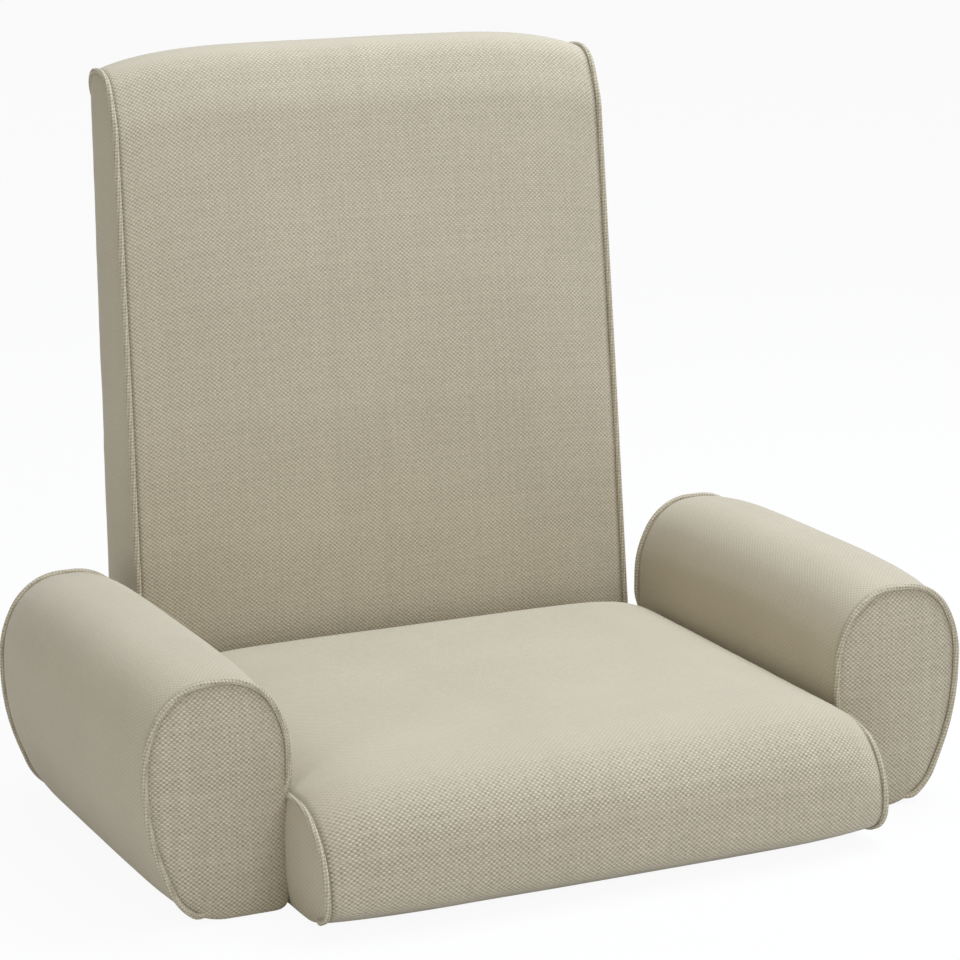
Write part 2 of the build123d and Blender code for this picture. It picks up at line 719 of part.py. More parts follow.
def back_cross_tube():
    across, rise = along_back(BACK_CROSS_HEIGHT)
    y = HINGE_Y + across
    z = HINGE_HEIGHT + rise
    cross = rod(-BACK_TUBE_X, BACK_TUBE_X, y, z, TUBE_RADIUS)
    cross = cross - rod(-BACK_TUBE_X, BACK_TUBE_X, y, z, TUBE_RADIUS - TUBE_WALL)
    side = Rot(90, 0, 0) * Cylinder(TUBE_RADIUS + COPE_GAP, 4 * TUBE_RADIUS)
    side = BACK_PLANE * (Pos(BACK_TUBE_X, BACK_CROSS_HEIGHT, 0) * side)
    return cross - side - left_of(side)


def back_straps():
    straps = []
    room = BACK_TUBE_TOP - TUBE_BEND - STRAP_WIDTH / 2 - BACK_STRAP_FIRST
    for step in range(int(room // BACK_STRAP_PITCH) + 1):
        height = BACK_STRAP_FIRST + step * BACK_STRAP_PITCH
        place = BACK_PLANE * Plane(origin=(0, height, 0), x_dir=(1, 0, 0), z_dir=(0, -1, 0)).location
        straps += extrude(place * strap_profile(BACK_TUBE_X), STRAP_WIDTH / 2, both=True).solids()
    return straps


# Bolster arms, right-hand side
def arm_corners(crown):
    """Corners of the arm's end outline, clockwise from its inner foot."""
    outer = ARM_INNER + ARM_WIDTH + crown * ARM_SIDE_CROWN
    top = ARM_HEIGHT + crown * ARM_TOP_CROWN
    return [
        (ARM_INNER, 0),
        (ARM_INNER, top - ARM_SHOULDER_DROP),
        (ARM_INNER + ARM_SHOULDER_RUN, top),
        (outer - ARM_SHOULDER_RUN, top),
        (outer, top - ARM_SHOULDER_DROP),
        (outer, ARM_CHEEK_HEIGHT),
        (outer - ARM_TUCK, 0),
    ]


def arm_radii(inset):
    sizes = (
        ARM_CORNER_RADIUS,
        ARM_SHOULDER_RADIUS,
        ARM_TOP_RADIUS,
        ARM_TOP_RADIUS,
        ARM_SHOULDER_RADIUS,
        ARM_CHEEK_RADIUS,
        ARM_TUCK_RADIUS,
    )
    return [size - inset for size in sizes]


def across_chair(y):
    """A plane square to the arm, facing the front."""
    return Plane(origin=(0, y, 0), x_dir=(1, 0, 0), z_dir=(0, -1, 0))


def arm_section(station, inset):
    middle = (ARM_FRONT + ARM_REAR) / 2
    y = middle + station * (ARM_LENGTH / 2 - inset)
    corners = moved_in(arm_corners(crown_share(station)), inset)
    return outline(across_chair(y), corners, arm_radii(inset))


def arm_piping(y, radius):
    corners = off_floor(moved_in(arm_corners(0), -PIPING_LIFT))
    return piping(across_chair(y), corners, arm_radii(-PIPING_LIFT), radius)


def arm_piping_places():
    return ARM_FRONT - PIPING_STANDOFF, ARM_REAR + PIPING_STANDOFF


def arm_cover():
    shell = cushion(arm_section, 0) - cushion(arm_section, COVER)
    for y in arm_piping_places():
        shell = shell - arm_piping(y, PIPING_RADIUS + GROOVE_GAP)
    for hole in bolt_holes(SPACER_RADIUS + BOLT_GAP):
        shell = shell - hole
    return shell


def arm_inner_blank():
    front = ARM_FRONT + ARM_END_PAD
    rear = ARM_REAR - ARM_END_PAD
    return block(BOARD_INNER, BOARD_OUTER, front, rear, ARM_CORNER_RADIUS, ARM_BOARD_TOP)


def arm_inner_board():
    board = arm_inner_blank()
    for y in BOLT_Y:
        board = board - rod(BOARD_INNER, BOARD_OUTER, y, HINGE_HEIGHT, TEE_BARREL + RIVET_GAP)
    return board


def arm_base_board():
    front = ARM_FRONT + ARM_END_PAD
    rear = ARM_REAR - ARM_END_PAD
    return block(BOARD_OUTER, BOARD_OUTER + ARM_BASE_BOARD_WIDTH, front, rear, BOARD_LIFT, BASE_BOARD_TOP)


def arm_formers():
    """Two shaped boards that stand on the base board and hold the arm's ends out."""
    corners = moved_in(arm_corners(0), BASE_BOARD_TOP)
    radii = [max(size - BASE_BOARD_TOP, 1) for size in arm_radii(0)]
    inner_part = block(ARM_INNER, BOARD_OUTER, ARM_FRONT, ARM_REAR, 0, ARM_HEIGHT)
    formers = []
    for y in (ARM_FRONT + ARM_END_PAD, ARM_REAR - ARM_END_PAD - ARM_BOARD):
        face = outline(across_chair(y), corners, radii)
        formers.append(extrude(face, ARM_BOARD, dir=(0, 1, 0)) - inner_part)
    return formers


def arm_foam():
    foam = cushion(arm_section, FOAM) - arm_inner_blank() - arm_base_board()
    for former in arm_formers():
        foam = foam - former
    pocket = BOARD_OUTER + TEE_FLANGE_HEIGHT + BOLT_TIP + TEE_POCKET_GAP
    for y in BOLT_Y:
        foam = foam - rod(BOARD_OUTER, pocket, y, HINGE_HEIGHT, TEE_FLANGE + TEE_POCKET_GAP)
    return foam


# Bolts that hold the arms to the seat frame, right-hand side
def arm_bolt(y):
    seat = SEAT_TUBE_X - TUBE_RADIUS - WASHER
    head = Pos(seat - BOLT_HEAD_HEIGHT, y, HINGE_HEIGHT) * Rot(0, 90, 0) * RegularPolygon(BOLT_HEAD, 6)
    tip = BOARD_OUTER + TEE_FLANGE_HEIGHT + BOLT_TIP
    return extrude(head, BOLT_HEAD_HEIGHT, dir=(1, 0, 0)) + rod(seat, tip, y, HINGE_HEIGHT, BOLT_RADIUS)


def ring(x0, x1, y, outer):
    """A washer or sleeve on an arm bolt."""
    return rod(x0, x1, y, HINGE_HEIGHT, outer) - rod(x0, x1, y, HINGE_HEIGHT, BOLT_RADIUS + BOLT_GAP)


def tee_nut(y):
    barrel = ring(BOARD_OUTER - TEE_BARREL_HEIGHT, BOARD_OUTER, y, TEE_BARREL)
    return barrel + ring(BOARD_OUTER, BOARD_OUTER + TEE_FLANGE_HEIGHT, y, TEE_FLANGE)


# Cloth strip in the crease
def crease_gusset():
    """A strip folded down into the crease, sewn to the seat in front and the back behind."""
    front = SEAT_REAR + GUSSET_SEAT_GAP
    rear = front + GUSSET_SPREAD
    middle = (front + rear) / 2
    sides = [
        block(-GUSSET_WIDTH / 2, GUSSET_WIDTH / 2, y, y + GUSSET, GUSSET_BOTTOM, GUSSET_TOP)
        for y in (front, rear - GUSSET)
    ]
    reach = GUSSET_SPREAD / 2
    fold = rod(-GUSSET_WIDTH / 2, GUSSET_WIDTH / 2, middle, GUSSET_BOTTOM, reach)
    fold = fold - rod(-GUSSET_WIDTH / 2, GUSSET_WIDTH / 2, middle, GUSSET_BOTTOM, reach - GUSSET)
    fold = split(fold, bisect_by=Plane.XY.offset(GUSSET_BOTTOM), keep=Keep.BOTTOM)
    return fold + sides


def all_parts():
    """Every piece under its node's name."""
    parts = {}

    def pair(name, shape):
        parts[name + "_right"] = shape
        parts[name + "_left"] = left_of(shape)

    parts["seat_cover"] = seat_cover()
    pair("seat_piping", seat_piping(PIPING_RADIUS))
    parts["seat_base_cloth"] = base_cloth(0, BASE_CLOTH)
    parts["seat_top_foam"], parts["seat_base_foam"] = seat_foams()
    parts["seat_frame"] = seat_frame()
    parts["seat_cross_tubes"] = Compound(children=seat_cross_tubes())
    parts["seat_straps"] = Compound(children=seat_straps())

    pair("hinge_ratchet", ratchet_plate())
    parts["ratchet_rivets"] = Compound(children=[twin for piece in seat_rivets() for twin in both(piece)])
    plates = hinge_case()
    parts["hinge_case_right"] = Compound(children=[s for plate in plates for s in plate.solids()])
    parts["hinge_case_left"] = Compound(children=[s for plate in plates for s in left_of(plate).solids()])
    parts["hinge_pivots"] = Compound(children=both(pivot_pin()))
    parts["pawl_pins"] = Compound(children=both(pawl_pin()))
    pair("pawl", pawl())
    pair("pawl_spring", pawl_spring())
    parts["case_rivets"] = Compound(children=[twin for piece in back_rivets() for twin in both(piece)])

    parts["back_cover"] = back_cover()
    pair("back_piping", back_piping(PIPING_RADIUS))
    parts["back_front_foam"], parts["back_rear_foam"] = back_foams()
    parts["back_frame"] = back_frame()
    parts["back_cross_tube"] = back_cross_tube()
    parts["back_straps"] = Compound(children=back_straps())

    pair("arm_cover", arm_cover())
    front, rear = arm_piping_places()
    pair("arm_front_piping", arm_piping(front, PIPING_RADIUS))
    pair("arm_rear_piping", arm_piping(rear, PIPING_RADIUS))
    pair("arm_foam", arm_foam())
    pair("arm_inner_board", arm_inner_board())
    pair("arm_base_board", arm_base_board())
    for name, former in zip(("arm_front_former", "arm_rear_former"), arm_formers()):
        pair(name, former)

    washer = SEAT_TUBE_X - TUBE_RADIUS - WASHER
    sleeve = SEAT_TUBE_X + TUBE_RADIUS
    hardware = {
        "arm_bolts": [arm_bolt(y) for y in BOLT_Y],
        "arm_washers": [ring(washer, washer + WASHER, y, WASHER_RADIUS) for y in BOLT_Y],
        "arm_spacers": [ring(sleeve, BOARD_INNER, y, SPACER_RADIUS) for y in BOLT_Y],
        "arm_tee_nuts": [tee_nut(y) for y in BOLT_Y],
    }
    for name, pieces in hardware.items():
        parts[name] = Compound(children=[twin for piece in pieces for twin in both(piece)])
    parts["crease_gusset"] = crease_gusset()
    return parts


os.makedirs("parts", exist_ok=True)
for node, shape in all_parts().items():
    export_step(shape, f"parts/{node}.step")
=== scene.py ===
import json
from math import ceil, cos, exp, pi, radians, sin, tan

import bmesh
import bpy
from bpy.props import FloatProperty, FloatVectorProperty, PointerProperty
from mathutils import Matrix, Vector, noise


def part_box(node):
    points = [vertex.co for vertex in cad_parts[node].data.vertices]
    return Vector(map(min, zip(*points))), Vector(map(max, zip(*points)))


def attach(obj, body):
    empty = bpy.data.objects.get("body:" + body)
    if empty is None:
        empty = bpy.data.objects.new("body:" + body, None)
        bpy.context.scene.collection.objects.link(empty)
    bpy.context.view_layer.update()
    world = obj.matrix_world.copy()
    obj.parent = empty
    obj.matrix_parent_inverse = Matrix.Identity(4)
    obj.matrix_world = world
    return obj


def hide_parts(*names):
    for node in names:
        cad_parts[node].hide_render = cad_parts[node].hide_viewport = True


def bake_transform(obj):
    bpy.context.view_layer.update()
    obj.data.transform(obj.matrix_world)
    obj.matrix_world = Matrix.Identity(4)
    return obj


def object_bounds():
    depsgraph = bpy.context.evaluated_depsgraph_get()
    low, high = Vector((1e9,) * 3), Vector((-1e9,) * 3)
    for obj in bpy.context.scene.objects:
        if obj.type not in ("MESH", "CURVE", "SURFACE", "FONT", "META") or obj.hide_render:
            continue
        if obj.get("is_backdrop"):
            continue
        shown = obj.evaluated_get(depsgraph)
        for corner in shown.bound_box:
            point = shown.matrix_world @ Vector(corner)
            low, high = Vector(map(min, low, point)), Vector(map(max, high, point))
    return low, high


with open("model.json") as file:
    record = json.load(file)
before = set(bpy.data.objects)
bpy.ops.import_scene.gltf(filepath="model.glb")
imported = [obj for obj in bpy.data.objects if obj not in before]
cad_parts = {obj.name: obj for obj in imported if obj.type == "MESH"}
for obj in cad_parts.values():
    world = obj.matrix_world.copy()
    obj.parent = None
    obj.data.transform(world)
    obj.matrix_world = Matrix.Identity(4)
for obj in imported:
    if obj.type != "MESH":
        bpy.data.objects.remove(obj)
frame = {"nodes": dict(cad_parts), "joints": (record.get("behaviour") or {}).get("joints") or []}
cad_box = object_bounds()

bl_info = {
    "name": "Floor chair",
    "version": (1, 0, 0),
    "blender": (4, 5, 0),
    "location": "View3D > Sidebar > Floor chair",
    "description": "Dresses the frame of a reclining floor chair with piped upholstery",
    "category": "Object",
}

# Places that come from the frame, in metres
SEAT_LOW, SEAT_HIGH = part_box("seat_cover")
ARM_LOW, ARM_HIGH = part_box("arm_cover_right")
GUSSET_LOW, GUSSET_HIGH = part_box("crease_gusset")
LINING_LOW, LINING_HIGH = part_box("seat_base_cloth")
HINGE = Vector(frame["joints"][0]["pos_m"])
RIGHT, LEFT = 1, -1
SIDES = ((RIGHT, "right"), (LEFT, "left"))

# Names of the cloth map and of the values stored on the covers' vertices
CLOTH_MAP = "cloth"
# Names a mask of where the cover faces up or to the sides: its weave is softer there and its colour
# carries a painted sheen
CALM_AND_SHEEN_MAP = "calm_and_sheen"
# Names a mask of the cloth beside each cord, where the finish paints shade into the groove
PAINTED_SEAM_SHADE_MAP = "seam"

# Mesh: arcs' steps, rows of the covers beside their seams, and points that measure an outline
ARC_STEP = radians(4)
SEAM_STEPS = (0.0, 0.0025, 0.006, 0.011)
OUTLINE_POINTS = 200

# Filling: frames of the simulation and rounds of evening out
FILL_FRAMES = 20
EVEN_ROUNDS = 16

# Bands at the crease in which the covers go from not swelling to swelling fully, in metres
SEAT_STILL_BAND = (0.06, 0.14)
BACK_STILL_BAND = (0.045, 0.080)
BACK_FRONT_BAND = (0.0, 0.03)

# Puckers: how far they reach from a seam, where they start, and the sizes of their ripples and swells
PUCKER_REACH = 0.014
PUCKER_START = 0.004
RIPPLE_SCALE = 95.0
SWELL_SCALE = 14.0

# Piping: cord radii that a deep-sewn cord lies below its seam, and the spacing of its rings
CORD_SINK = 2.4
CORD_SPACING = 0.003
CORD_SIDES = 12

# Sheets, in metres
STRIP_THICKNESS = 0.0012
LINING_THICKNESS = 0.0005
LINING_PUCKER = 0.0002
LINING_ROOM = 0.0014
LINING_SETBACK = 0.03

# Weave: the weight of each part of the light and dark in the cloth, which holds the cloth's own weave,
# painted shade on the threads' sides and in the holes between them, a painted sheen and painted shade
# beside the cords
CALM_LOSS = 0.7
CHECKER_LIGHT = 0.29
THREAD_LIGHT = 0.2
YARN_LIGHT = 0.1
FIBRE_LIGHT = 0.2
CLOUD_LIGHT = 0.12
# Painted sheen: how much lighter the cloth is painted where it faces up or to the sides
PAINTED_SHEEN = 0.04
# Painted shade: how much darker the cloth is painted in the groove beside each cord
PAINTED_SEAM_SHADE = 0.26
THREAD_MEAN = 0.64

# Stage
COOL_WHITE = (0.93, 1.02, 1.2)
FLOOR_REACH = 40.0
FLOOR_LEVEL = -0.0004
FLOOR_SHADE = 0.72
FLOOR_WHITENESS = 0.93
SENSOR_WIDTH = 36.0


# Settings, which the sidebar shows under the names of their properties
def length(description, default):
    """A size in metres."""
    return FloatProperty(description=description, default=default, precision=4, unit="LENGTH")


def angle(description, default):
    """An angle, given in degrees."""
    return FloatProperty(description=description, default=radians(default), subtype="ANGLE")


def number(description, default):
    """A plain number."""
    return FloatProperty(description=description, default=default, precision=3)


def power(description, default):
    """A light's power in watts."""
    return FloatProperty(description=description, default=default, unit="POWER")


def tint(description, default):
    """A linear colour."""
    return FloatVectorProperty(description=description, default=default, min=0, max=1, subtype="COLOR")


class SeatSettings(bpy.types.PropertyGroup):
    half_width: length("Half the width between the side panels", 0.247)
    crown: length("Rise of the seat's middle above its piped edges", 0.025)
    nose_crown: length("How far the middle of the front stands out", 0.016)
    foot_crown: length("How far the middle of the front's foot stands out", 0.009)
    nose_radius: length("Rounding of the front edge", 0.061)
    under_rise: length("Height where the front turns under", 0.0192)
    under_run: length("How far back the underside meets the floor", 0.040)
    lip_radius: length("Rounding where the front turns under", 0.020)
    under_radius: length("Rounding where the underside meets the floor", 0.090)
    rear_radius: length("Rounding of the rear edge", 0.040)
    heel_radius: length("Rounding under the rear", 0.014)
    side_tuck: length("How far the sides draw in at the floor", 0.003)
    tuck_height: length("Height where the sides start to draw in", 0.042)
    dome: length("Swell of the side panels", 0.003)
    weave: number("Size of the weave against the arms'", 1.04)


class BackSettings(bpy.types.PropertyGroup):
    half_width: length("Half the width at the hinge", 0.236)
    front_reach: length("Front face before the hinge axis", 0.036)
    rear_reach: length("Rear face behind the hinge axis", 0.050)
    front_lean: angle("Lean of the front face", 6.2)
    rear_lean: angle("Lean of the rear face", 3.4)
    side_taper: angle("How far each side leans in", 0.72)
    foot_drop: length("Foot below the hinge axis", 0.040)
    foot_radius: length("Rounding of the foot", 0.036)
    height: length("Piped top above the hinge axis", 0.5565)
    shoulder_drop: length("Start of the rounding below the top", 0.045)
    shoulder_setback: length("How far the front top leans back", 0.014)
    shoulder_radius: length("Rounding of the front shoulder", 0.060)
    top_radius: length("Rounding of the top's front", 0.028)
    rear_top_radius: length("Rounding of the top's rear", 0.011)
    belly_height: length("Height of the fullest part", 0.260)
    belly: length("How far the middle swells forward", 0.014)
    edge_belly: length("How far the edges swell forward", 0.001)
    belly_radius: length("Rounding of the belly", 2.4)
    top_crown: length("Rise of the top's middle", 0.0165)
    dome: length("Swell of the side panels", 0.005)
    weave: number("Size of the weave against the arms'", 0.96)


class ArmSettings(bpy.types.PropertyGroup):
    inset: length("How far the cloth swells in towards the seat", 0.005)
    width: length("Width of the piped ends", 0.117)
    height: length("Height of the piped ends", 0.192)
    shoulder_drop: length("Height of the rounded shoulders", 0.046)
    shoulder_run: length("Width of the rounded shoulders", 0.024)
    cheek_height: length("Height where the outer side turns in", 0.080)
    tuck: length("How far the outer foot is drawn in", 0.032)
    corner_radius: length("Rounding of the inner foot", 0.006)
    shoulder_radius: length("Rounding of the shoulders", 0.082)
    top_radius: length("Rounding of the top", 0.048)
    cheek_radius: length("Rounding of the outer side", 0.190)
    tuck_radius: length("Rounding of the outer foot", 0.048)
    top_crown: length("Rise of the middle of the arm", 0.008)
    side_crown: length("Swell of the outer side", 0.005)
    toe_in: length("How much closer the rear ends stand than the front ones", 0.001)
    dome: length("Swell of the end panels", 0.005)
    weave: number("Size of the weave", 1.0)


class ClothSettings(bpy.types.PropertyGroup):
    grid: length("Spacing of the cloth's mesh", 0.009)
    seam_tuck: length("How far the seams draw the cloth in", 0.0005)
    pucker: length("Height of the puckers beside the seams", 0.0005)
    fill_limit: length("How far the filling may push the cloth out", 0.003)
    piping_radius: length("Radius of the piping cords", 0.0025)
    piping_lift: length("Piping outside the panel's outline", 0.0002)
    piping_standoff: length("Piping outside the panel's plane", 0.0008)
    warp_pitch: length("Spacing of the threads across", 0.0022)
    weft_pitch: length("Spacing of the threads along", 0.00185)
    colour: tint("Colour of the raised threads", (0.708, 0.634, 0.474))
    # The gap colour is partly painted shade in the holes between the threads
    gap_colour: tint("Colour between the threads", (0.206, 0.178, 0.122))
    pressure: number("Pressure of the filling", 4.0)


class StageSettings(bpy.types.PropertyGroup):
    lens: number("Focal length in millimetres on a 36 mm sensor", 125.66)
    azimuth: angle("Camera's turn to the right of straight ahead", -25.83)
    elevation: angle("Camera's height above the horizon", 13.88)
    distance: length("Camera from its target", 2.718)
    target: FloatVectorProperty(
        description="Point in the middle of the picture",
        default=(-0.03045, -0.08521, 0.29617),
        subtype="TRANSLATION",
    )
    ambient: number("Strength of the even light all round", 0.45)
    overhead: power("Power of the overhead light", 63)
    front: power("Power of the front light", 15.4)
    side: power("Power of the side light", 7)


class ChairSettings(bpy.types.PropertyGroup):
    seat: PointerProperty(type=SeatSettings)
    back: PointerProperty(type=BackSettings)
    arm: PointerProperty(type=ArmSettings)
    cloth: PointerProperty(type=ClothSettings)
    stage: PointerProperty(type=StageSettings)


# Node trees
class Wire:
    """An output socket of a node tree, for use in sums."""

    def __init__(self, socket):
        self.socket = socket
        self.tree = socket.id_data

    @staticmethod
    def add(tree, kind, settings=None, inputs=None, output=0):
        """Adds a node, sets it up and joins its inputs, and gives one of its outputs."""
        node = tree.nodes.new(kind)
        for name, value in (settings or {}).items():
            setattr(node, name, value)
        for key, value in (inputs or {}).items():
            if isinstance(value, Wire):
                tree.links.new(value.socket, node.inputs[key])
            else:
                node.inputs[key].default_value = value
        return Wire(node.outputs[output])

    def of(self, name):
        """Another output of the same node."""
        return Wire(self.socket.node.outputs[name])

    def math(self, operation, *others):
        """A sum with this value and others."""
        inputs = dict(enumerate((self, *others)))
        return Wire.add(self.tree, "ShaderNodeMath", {"operation": operation}, inputs)

    def __add__(self, other):
        return self.math("ADD", other)

    def __radd__(self, other):
        return self.math("ADD", other)

    def __mul__(self, other):
        return self.math("MULTIPLY", other)

    def __sub__(self, other):
        return self.math("SUBTRACT", other)

    def __rsub__(self, other):
        return Wire.add(self.tree, "ShaderNodeMath", {"operation": "SUBTRACT"}, {0: other, 1: self})

    def __truediv__(self, other):
        return self.math("DIVIDE", other)


def new_material(name, **constants):
    """A material with its shader's constant values set, and its tree and shader."""
    material = bpy.data.materials.new(name)
    material.use_nodes = True
    tree = material.node_tree
    shader = tree.nodes["Principled BSDF"]
    for socket, value in constants.items():
        shader.inputs[socket.replace("_", " ")].default_value = value
    return material, tree, shader


def feed(tree, shader, tone, roughness, height, distance, strength=1.0):
    """Joins the colour, roughness and relief that change over a surface to its shader."""
    inputs = {"Height": height, "Distance": distance, "Strength": strength}
    relief = Wire.add(tree, "ShaderNodeBump", inputs=inputs)
    for socket, wire in (("Base Color", tone), ("Roughness", roughness), ("Normal", relief)):
        tree.links.new(wire.socket, shader.inputs[socket])


def object_place(tree):
    """The place on an object, in its own coordinates."""
    return Wire.add(tree, "ShaderNodeTexCoord", output="Object")


def stored(tree, name):
    """A value stored on a mesh, or zero where a mesh has none."""
    return Wire.add(tree, "ShaderNodeAttribute", {"attribute_name": name}, output="Fac")


def fine_noise(tree, place, scale, detail=3.0, roughness=0.55):
    inputs = {"Vector": place, "Scale": scale, "Detail": detail, "Roughness": roughness}
    return Wire.add(tree, "ShaderNodeTexNoise", inputs=inputs)


def colour_mix(tree, factor, first, second):
    """A colour between two colours."""
    inputs = {"Factor": factor, 6: (*first, 1.0), 7: (*second, 1.0)}
    return Wire.add(tree, "ShaderNodeMix", {"data_type": "RGBA"}, inputs, output=2)


# Cloth finishes
def weave_finish(name, cloth, on_bias):
    """Plain-woven upholstery cloth: light raised threads in a checker, with darker ones between; the dark
    holes and the darker sides of the threads are partly painted shade.
    """
    material, tree, shader = new_material(
        name, Sheen_Weight=0.15, Sheen_Roughness=0.45, Specular_IOR_Level=0.2
    )
    across, along, _ = split(tree, Wire.add(tree, "ShaderNodeUVMap", {"uv_map": CLOTH_MAP}))
    if on_bias:
        across, along = (across + along) * cos(pi / 4), (across - along) * cos(pi / 4)
    place = object_place(tree)
    wander = (fine_noise(tree, place, 38.0) - 0.5) * 0.55
    warp = across / cloth.warp_pitch + wander
    weft = along / cloth.weft_pitch + wander
    column, row = warp.math("FLOOR"), weft.math("FLOOR")
    over = ((column + row) * 0.5).math("FRACT") * 2
    warp_round = ((warp.math("FRACT") - 0.5) * pi).math("COSINE")
    weft_round = ((weft.math("FRACT") - 0.5) * pi).math("COSINE")
    pillow = (warp_round * weft_round).math("POWER", 0.75)
    # This mask softens the weave and also paints a sheen onto the cloth's colour
    calm_and_sheen = stored(tree, CALM_AND_SHEEN_MAP)
    bold = 1 - calm_and_sheen * CALM_LOSS
    cell = Wire.add(tree, "ShaderNodeCombineXYZ", inputs={"X": column, "Y": row})
    odd = Wire.add(tree, "ShaderNodeTexWhiteNoise", {"noise_dimensions": "2D"}, {"Vector": cell})
    # Partly painted light and shade: a dark hole in each under cell and a light crown on each over cell
    checker = pillow * (over * 2 - 1) * (odd * 0.9 + 0.55) * bold
    yarn = thread_shade(tree, column, 0.0) * over + thread_shade(tree, row, 31.7) * (1 - over)
    fibre = fine_noise(tree, place, 900.0, 2.0)
    cloud = fine_noise(tree, place, 9.0, 2.0)
    # Partly painted shade: each thread lighter at its crown and darker at its sides
    threads = (weft_round - THREAD_MEAN) * THREAD_LIGHT + (yarn - 0.5) * YARN_LIGHT
    threads = (threads + (fibre - 0.5) * FIBRE_LIGHT) * bold
    light = checker * CHECKER_LIGHT + threads + (cloud - 0.5) * CLOUD_LIGHT
    # Painted light: a painted sheen where the cloth faces up or to the sides, and painted shade in the
    # groove beside each cord
    light = light + calm_and_sheen * PAINTED_SHEEN + 0.5 - stored(tree, PAINTED_SEAM_SHADE_MAP) * PAINTED_SEAM_SHADE
    tone = colour_mix(tree, light, cloth.gap_colour, cloth.colour)
    height = checker * 0.5 + (pillow * 0.3 + (fibre - 0.5) * 0.3) * bold
    feed(tree, shader, tone, 0.96 - pillow * 0.12, height, 0.0005, 0.55)
    return material


def split(tree, wire):
    """The three parts of a vector."""
    node = Wire.add(tree, "ShaderNodeSeparateXYZ", inputs={0: wire})
    return node, node.of("Y"), node.of("Z")


def thread_shade(tree, index, offset):
    """A shade of its own for each thread."""
    inputs = {"W": index + offset}
    return Wire.add(tree, "ShaderNodeTexWhiteNoise", {"noise_dimensions": "1D"}, inputs)


def lining_finish():
    """Black non-woven lining: short pressed fibres and a faint grid of bonding points."""
    material, tree, shader = new_material("lining cloth", Specular_IOR_Level=0.25)
    place = object_place(tree)
    fibre = fine_noise(tree, place, 700.0, 4.0, 0.7)
    across, along, _ = split(tree, place)
    points = (across * 1400.0).math("SINE") * (along * 1400.0).math("SINE")
    tone = colour_mix(tree, fibre, (0.012, 0.012, 0.014), (0.05, 0.05, 0.054))
    feed(tree, shader, tone, 0.82 + fibre * 0.15, fibre + points * 0.3, 0.0003, 0.6)
    return material


def strap_finish():
    """Woven elastic strap: ribs along its length, crossed by fine weft."""
    material, tree, shader = new_material("elastic strap", Specular_IOR_Level=0.3)
    place = object_place(tree)
    across, along, _ = split(tree, place)
    ribs = (along * 2600.0).math("SINE") * 0.5 + 0.5
    weft = (across * 3400.0).math("SINE") * 0.5 + 0.5
    worn = fine_noise(tree, place, 60.0)
    tone = colour_mix(tree, ribs * 0.6 + weft * 0.2 + worn * 0.3, (0.1, 0.1, 0.1), (0.3, 0.3, 0.29))
    feed(tree, shader, tone, 0.75 + worn * 0.2, ribs + weft * 0.4, 0.0003)
    return material


# Hard finishes
def coated_tube_finish():
    """Black powder coat with a fine orange peel and a few scuffs."""
    material, tree, shader = new_material("powder coat", Specular_IOR_Level=0.5)
    place = object_place(tree)
    peel = fine_noise(tree, place, 420.0, 2.0)
    scuff = fine_noise(tree, place, 26.0, 5.0, 0.7)
    tone = colour_mix(tree, scuff, (0.02, 0.02, 0.022), (0.055, 0.055, 0.058))
    feed(tree, shader, tone, 0.34 + scuff * 0.25, peel, 0.0002, 0.5)
    return material


def metal_finish(name, dull, bright, roughness, grain):
    """Bare or plated steel with a drawn grain and faint staining."""
    material, tree, shader = new_material(name, Metallic=1.0)
    place = object_place(tree)
    drawn = Wire.add(tree, "ShaderNodeMapping", inputs={"Vector": place, "Scale": (1.0, 12.0, 12.0)})
    streak = fine_noise(tree, drawn, grain, 3.0)
    stain = fine_noise(tree, place, 45.0, 4.0, 0.65)
    tone = colour_mix(tree, stain * 0.7 + streak * 0.3, dull, bright)
    feed(tree, shader, tone, roughness + stain * 0.2 + streak * 0.1, streak, 0.0001, 0.4)
    return material


def plywood_finish():
    """Birch plywood: pale veneers with long grain, and thin darker glue lines between them."""
    material, tree, shader = new_material("birch plywood", Specular_IOR_Level=0.3)
    place = object_place(tree)
    across, along, up = split(tree, place)
    stretched = Wire.add(tree, "ShaderNodeMapping", inputs={"Vector": place, "Scale": (40.0, 3.0, 40.0)})
    grain = fine_noise(tree, stretched, 6.0, 6.0, 0.6)
    plies = ((across + along + up) * 1850.0).math("SINE") * 0.5 + 0.5
    tone = colour_mix(tree, grain * 0.75 + plies * 0.25, (0.42, 0.27, 0.14), (0.74, 0.57, 0.37))
    feed(tree, shader, tone, 0.55 + grain * 0.2, grain, 0.0003, 0.5)
    return material


def moulded_finish():
    """Black nylon with a fine spark-eroded texture."""
    material, tree, shader = new_material("moulded nylon", Specular_IOR_Level=0.45)
    place = object_place(tree)
    spark = fine_noise(tree, place, 1100.0, 3.0)
    tone = colour_mix(tree, spark, (0.02, 0.02, 0.02), (0.045, 0.045, 0.046))
    feed(tree, shader, tone, 0.45 + spark * 0.2, spark, 0.0001, 0.5)
    return material


# Outlines
def rounded_outline(corners, count):
    """Evenly spaced points along a closed line, its corners given with their radii."""
    path = []
    places = [Vector(corner[:2]) for corner in corners]
    for index, corner in enumerate(places):
        radius = corners[index][2]
        back = (places[index - 1] - corner).normalized()
        ahead = (places[(index + 1) % len(places)] - corner).normalized()
        half = back.angle(ahead) / 2
        centre = corner + (back + ahead).normalized() * (radius / sin(half))
        start = corner + back * (radius / tan(half)) - centre
        sweep = pi - 2 * half
        if back.x * ahead.y - back.y * ahead.x > 0:
            sweep = -sweep
        steps = max(2, ceil(abs(sweep) / ARC_STEP))
        for step in range(steps + 1):
            turn = Matrix.Rotation(sweep * step / steps, 2)
            path.append(centre + turn @ start)
    return spaced_along(path, count)


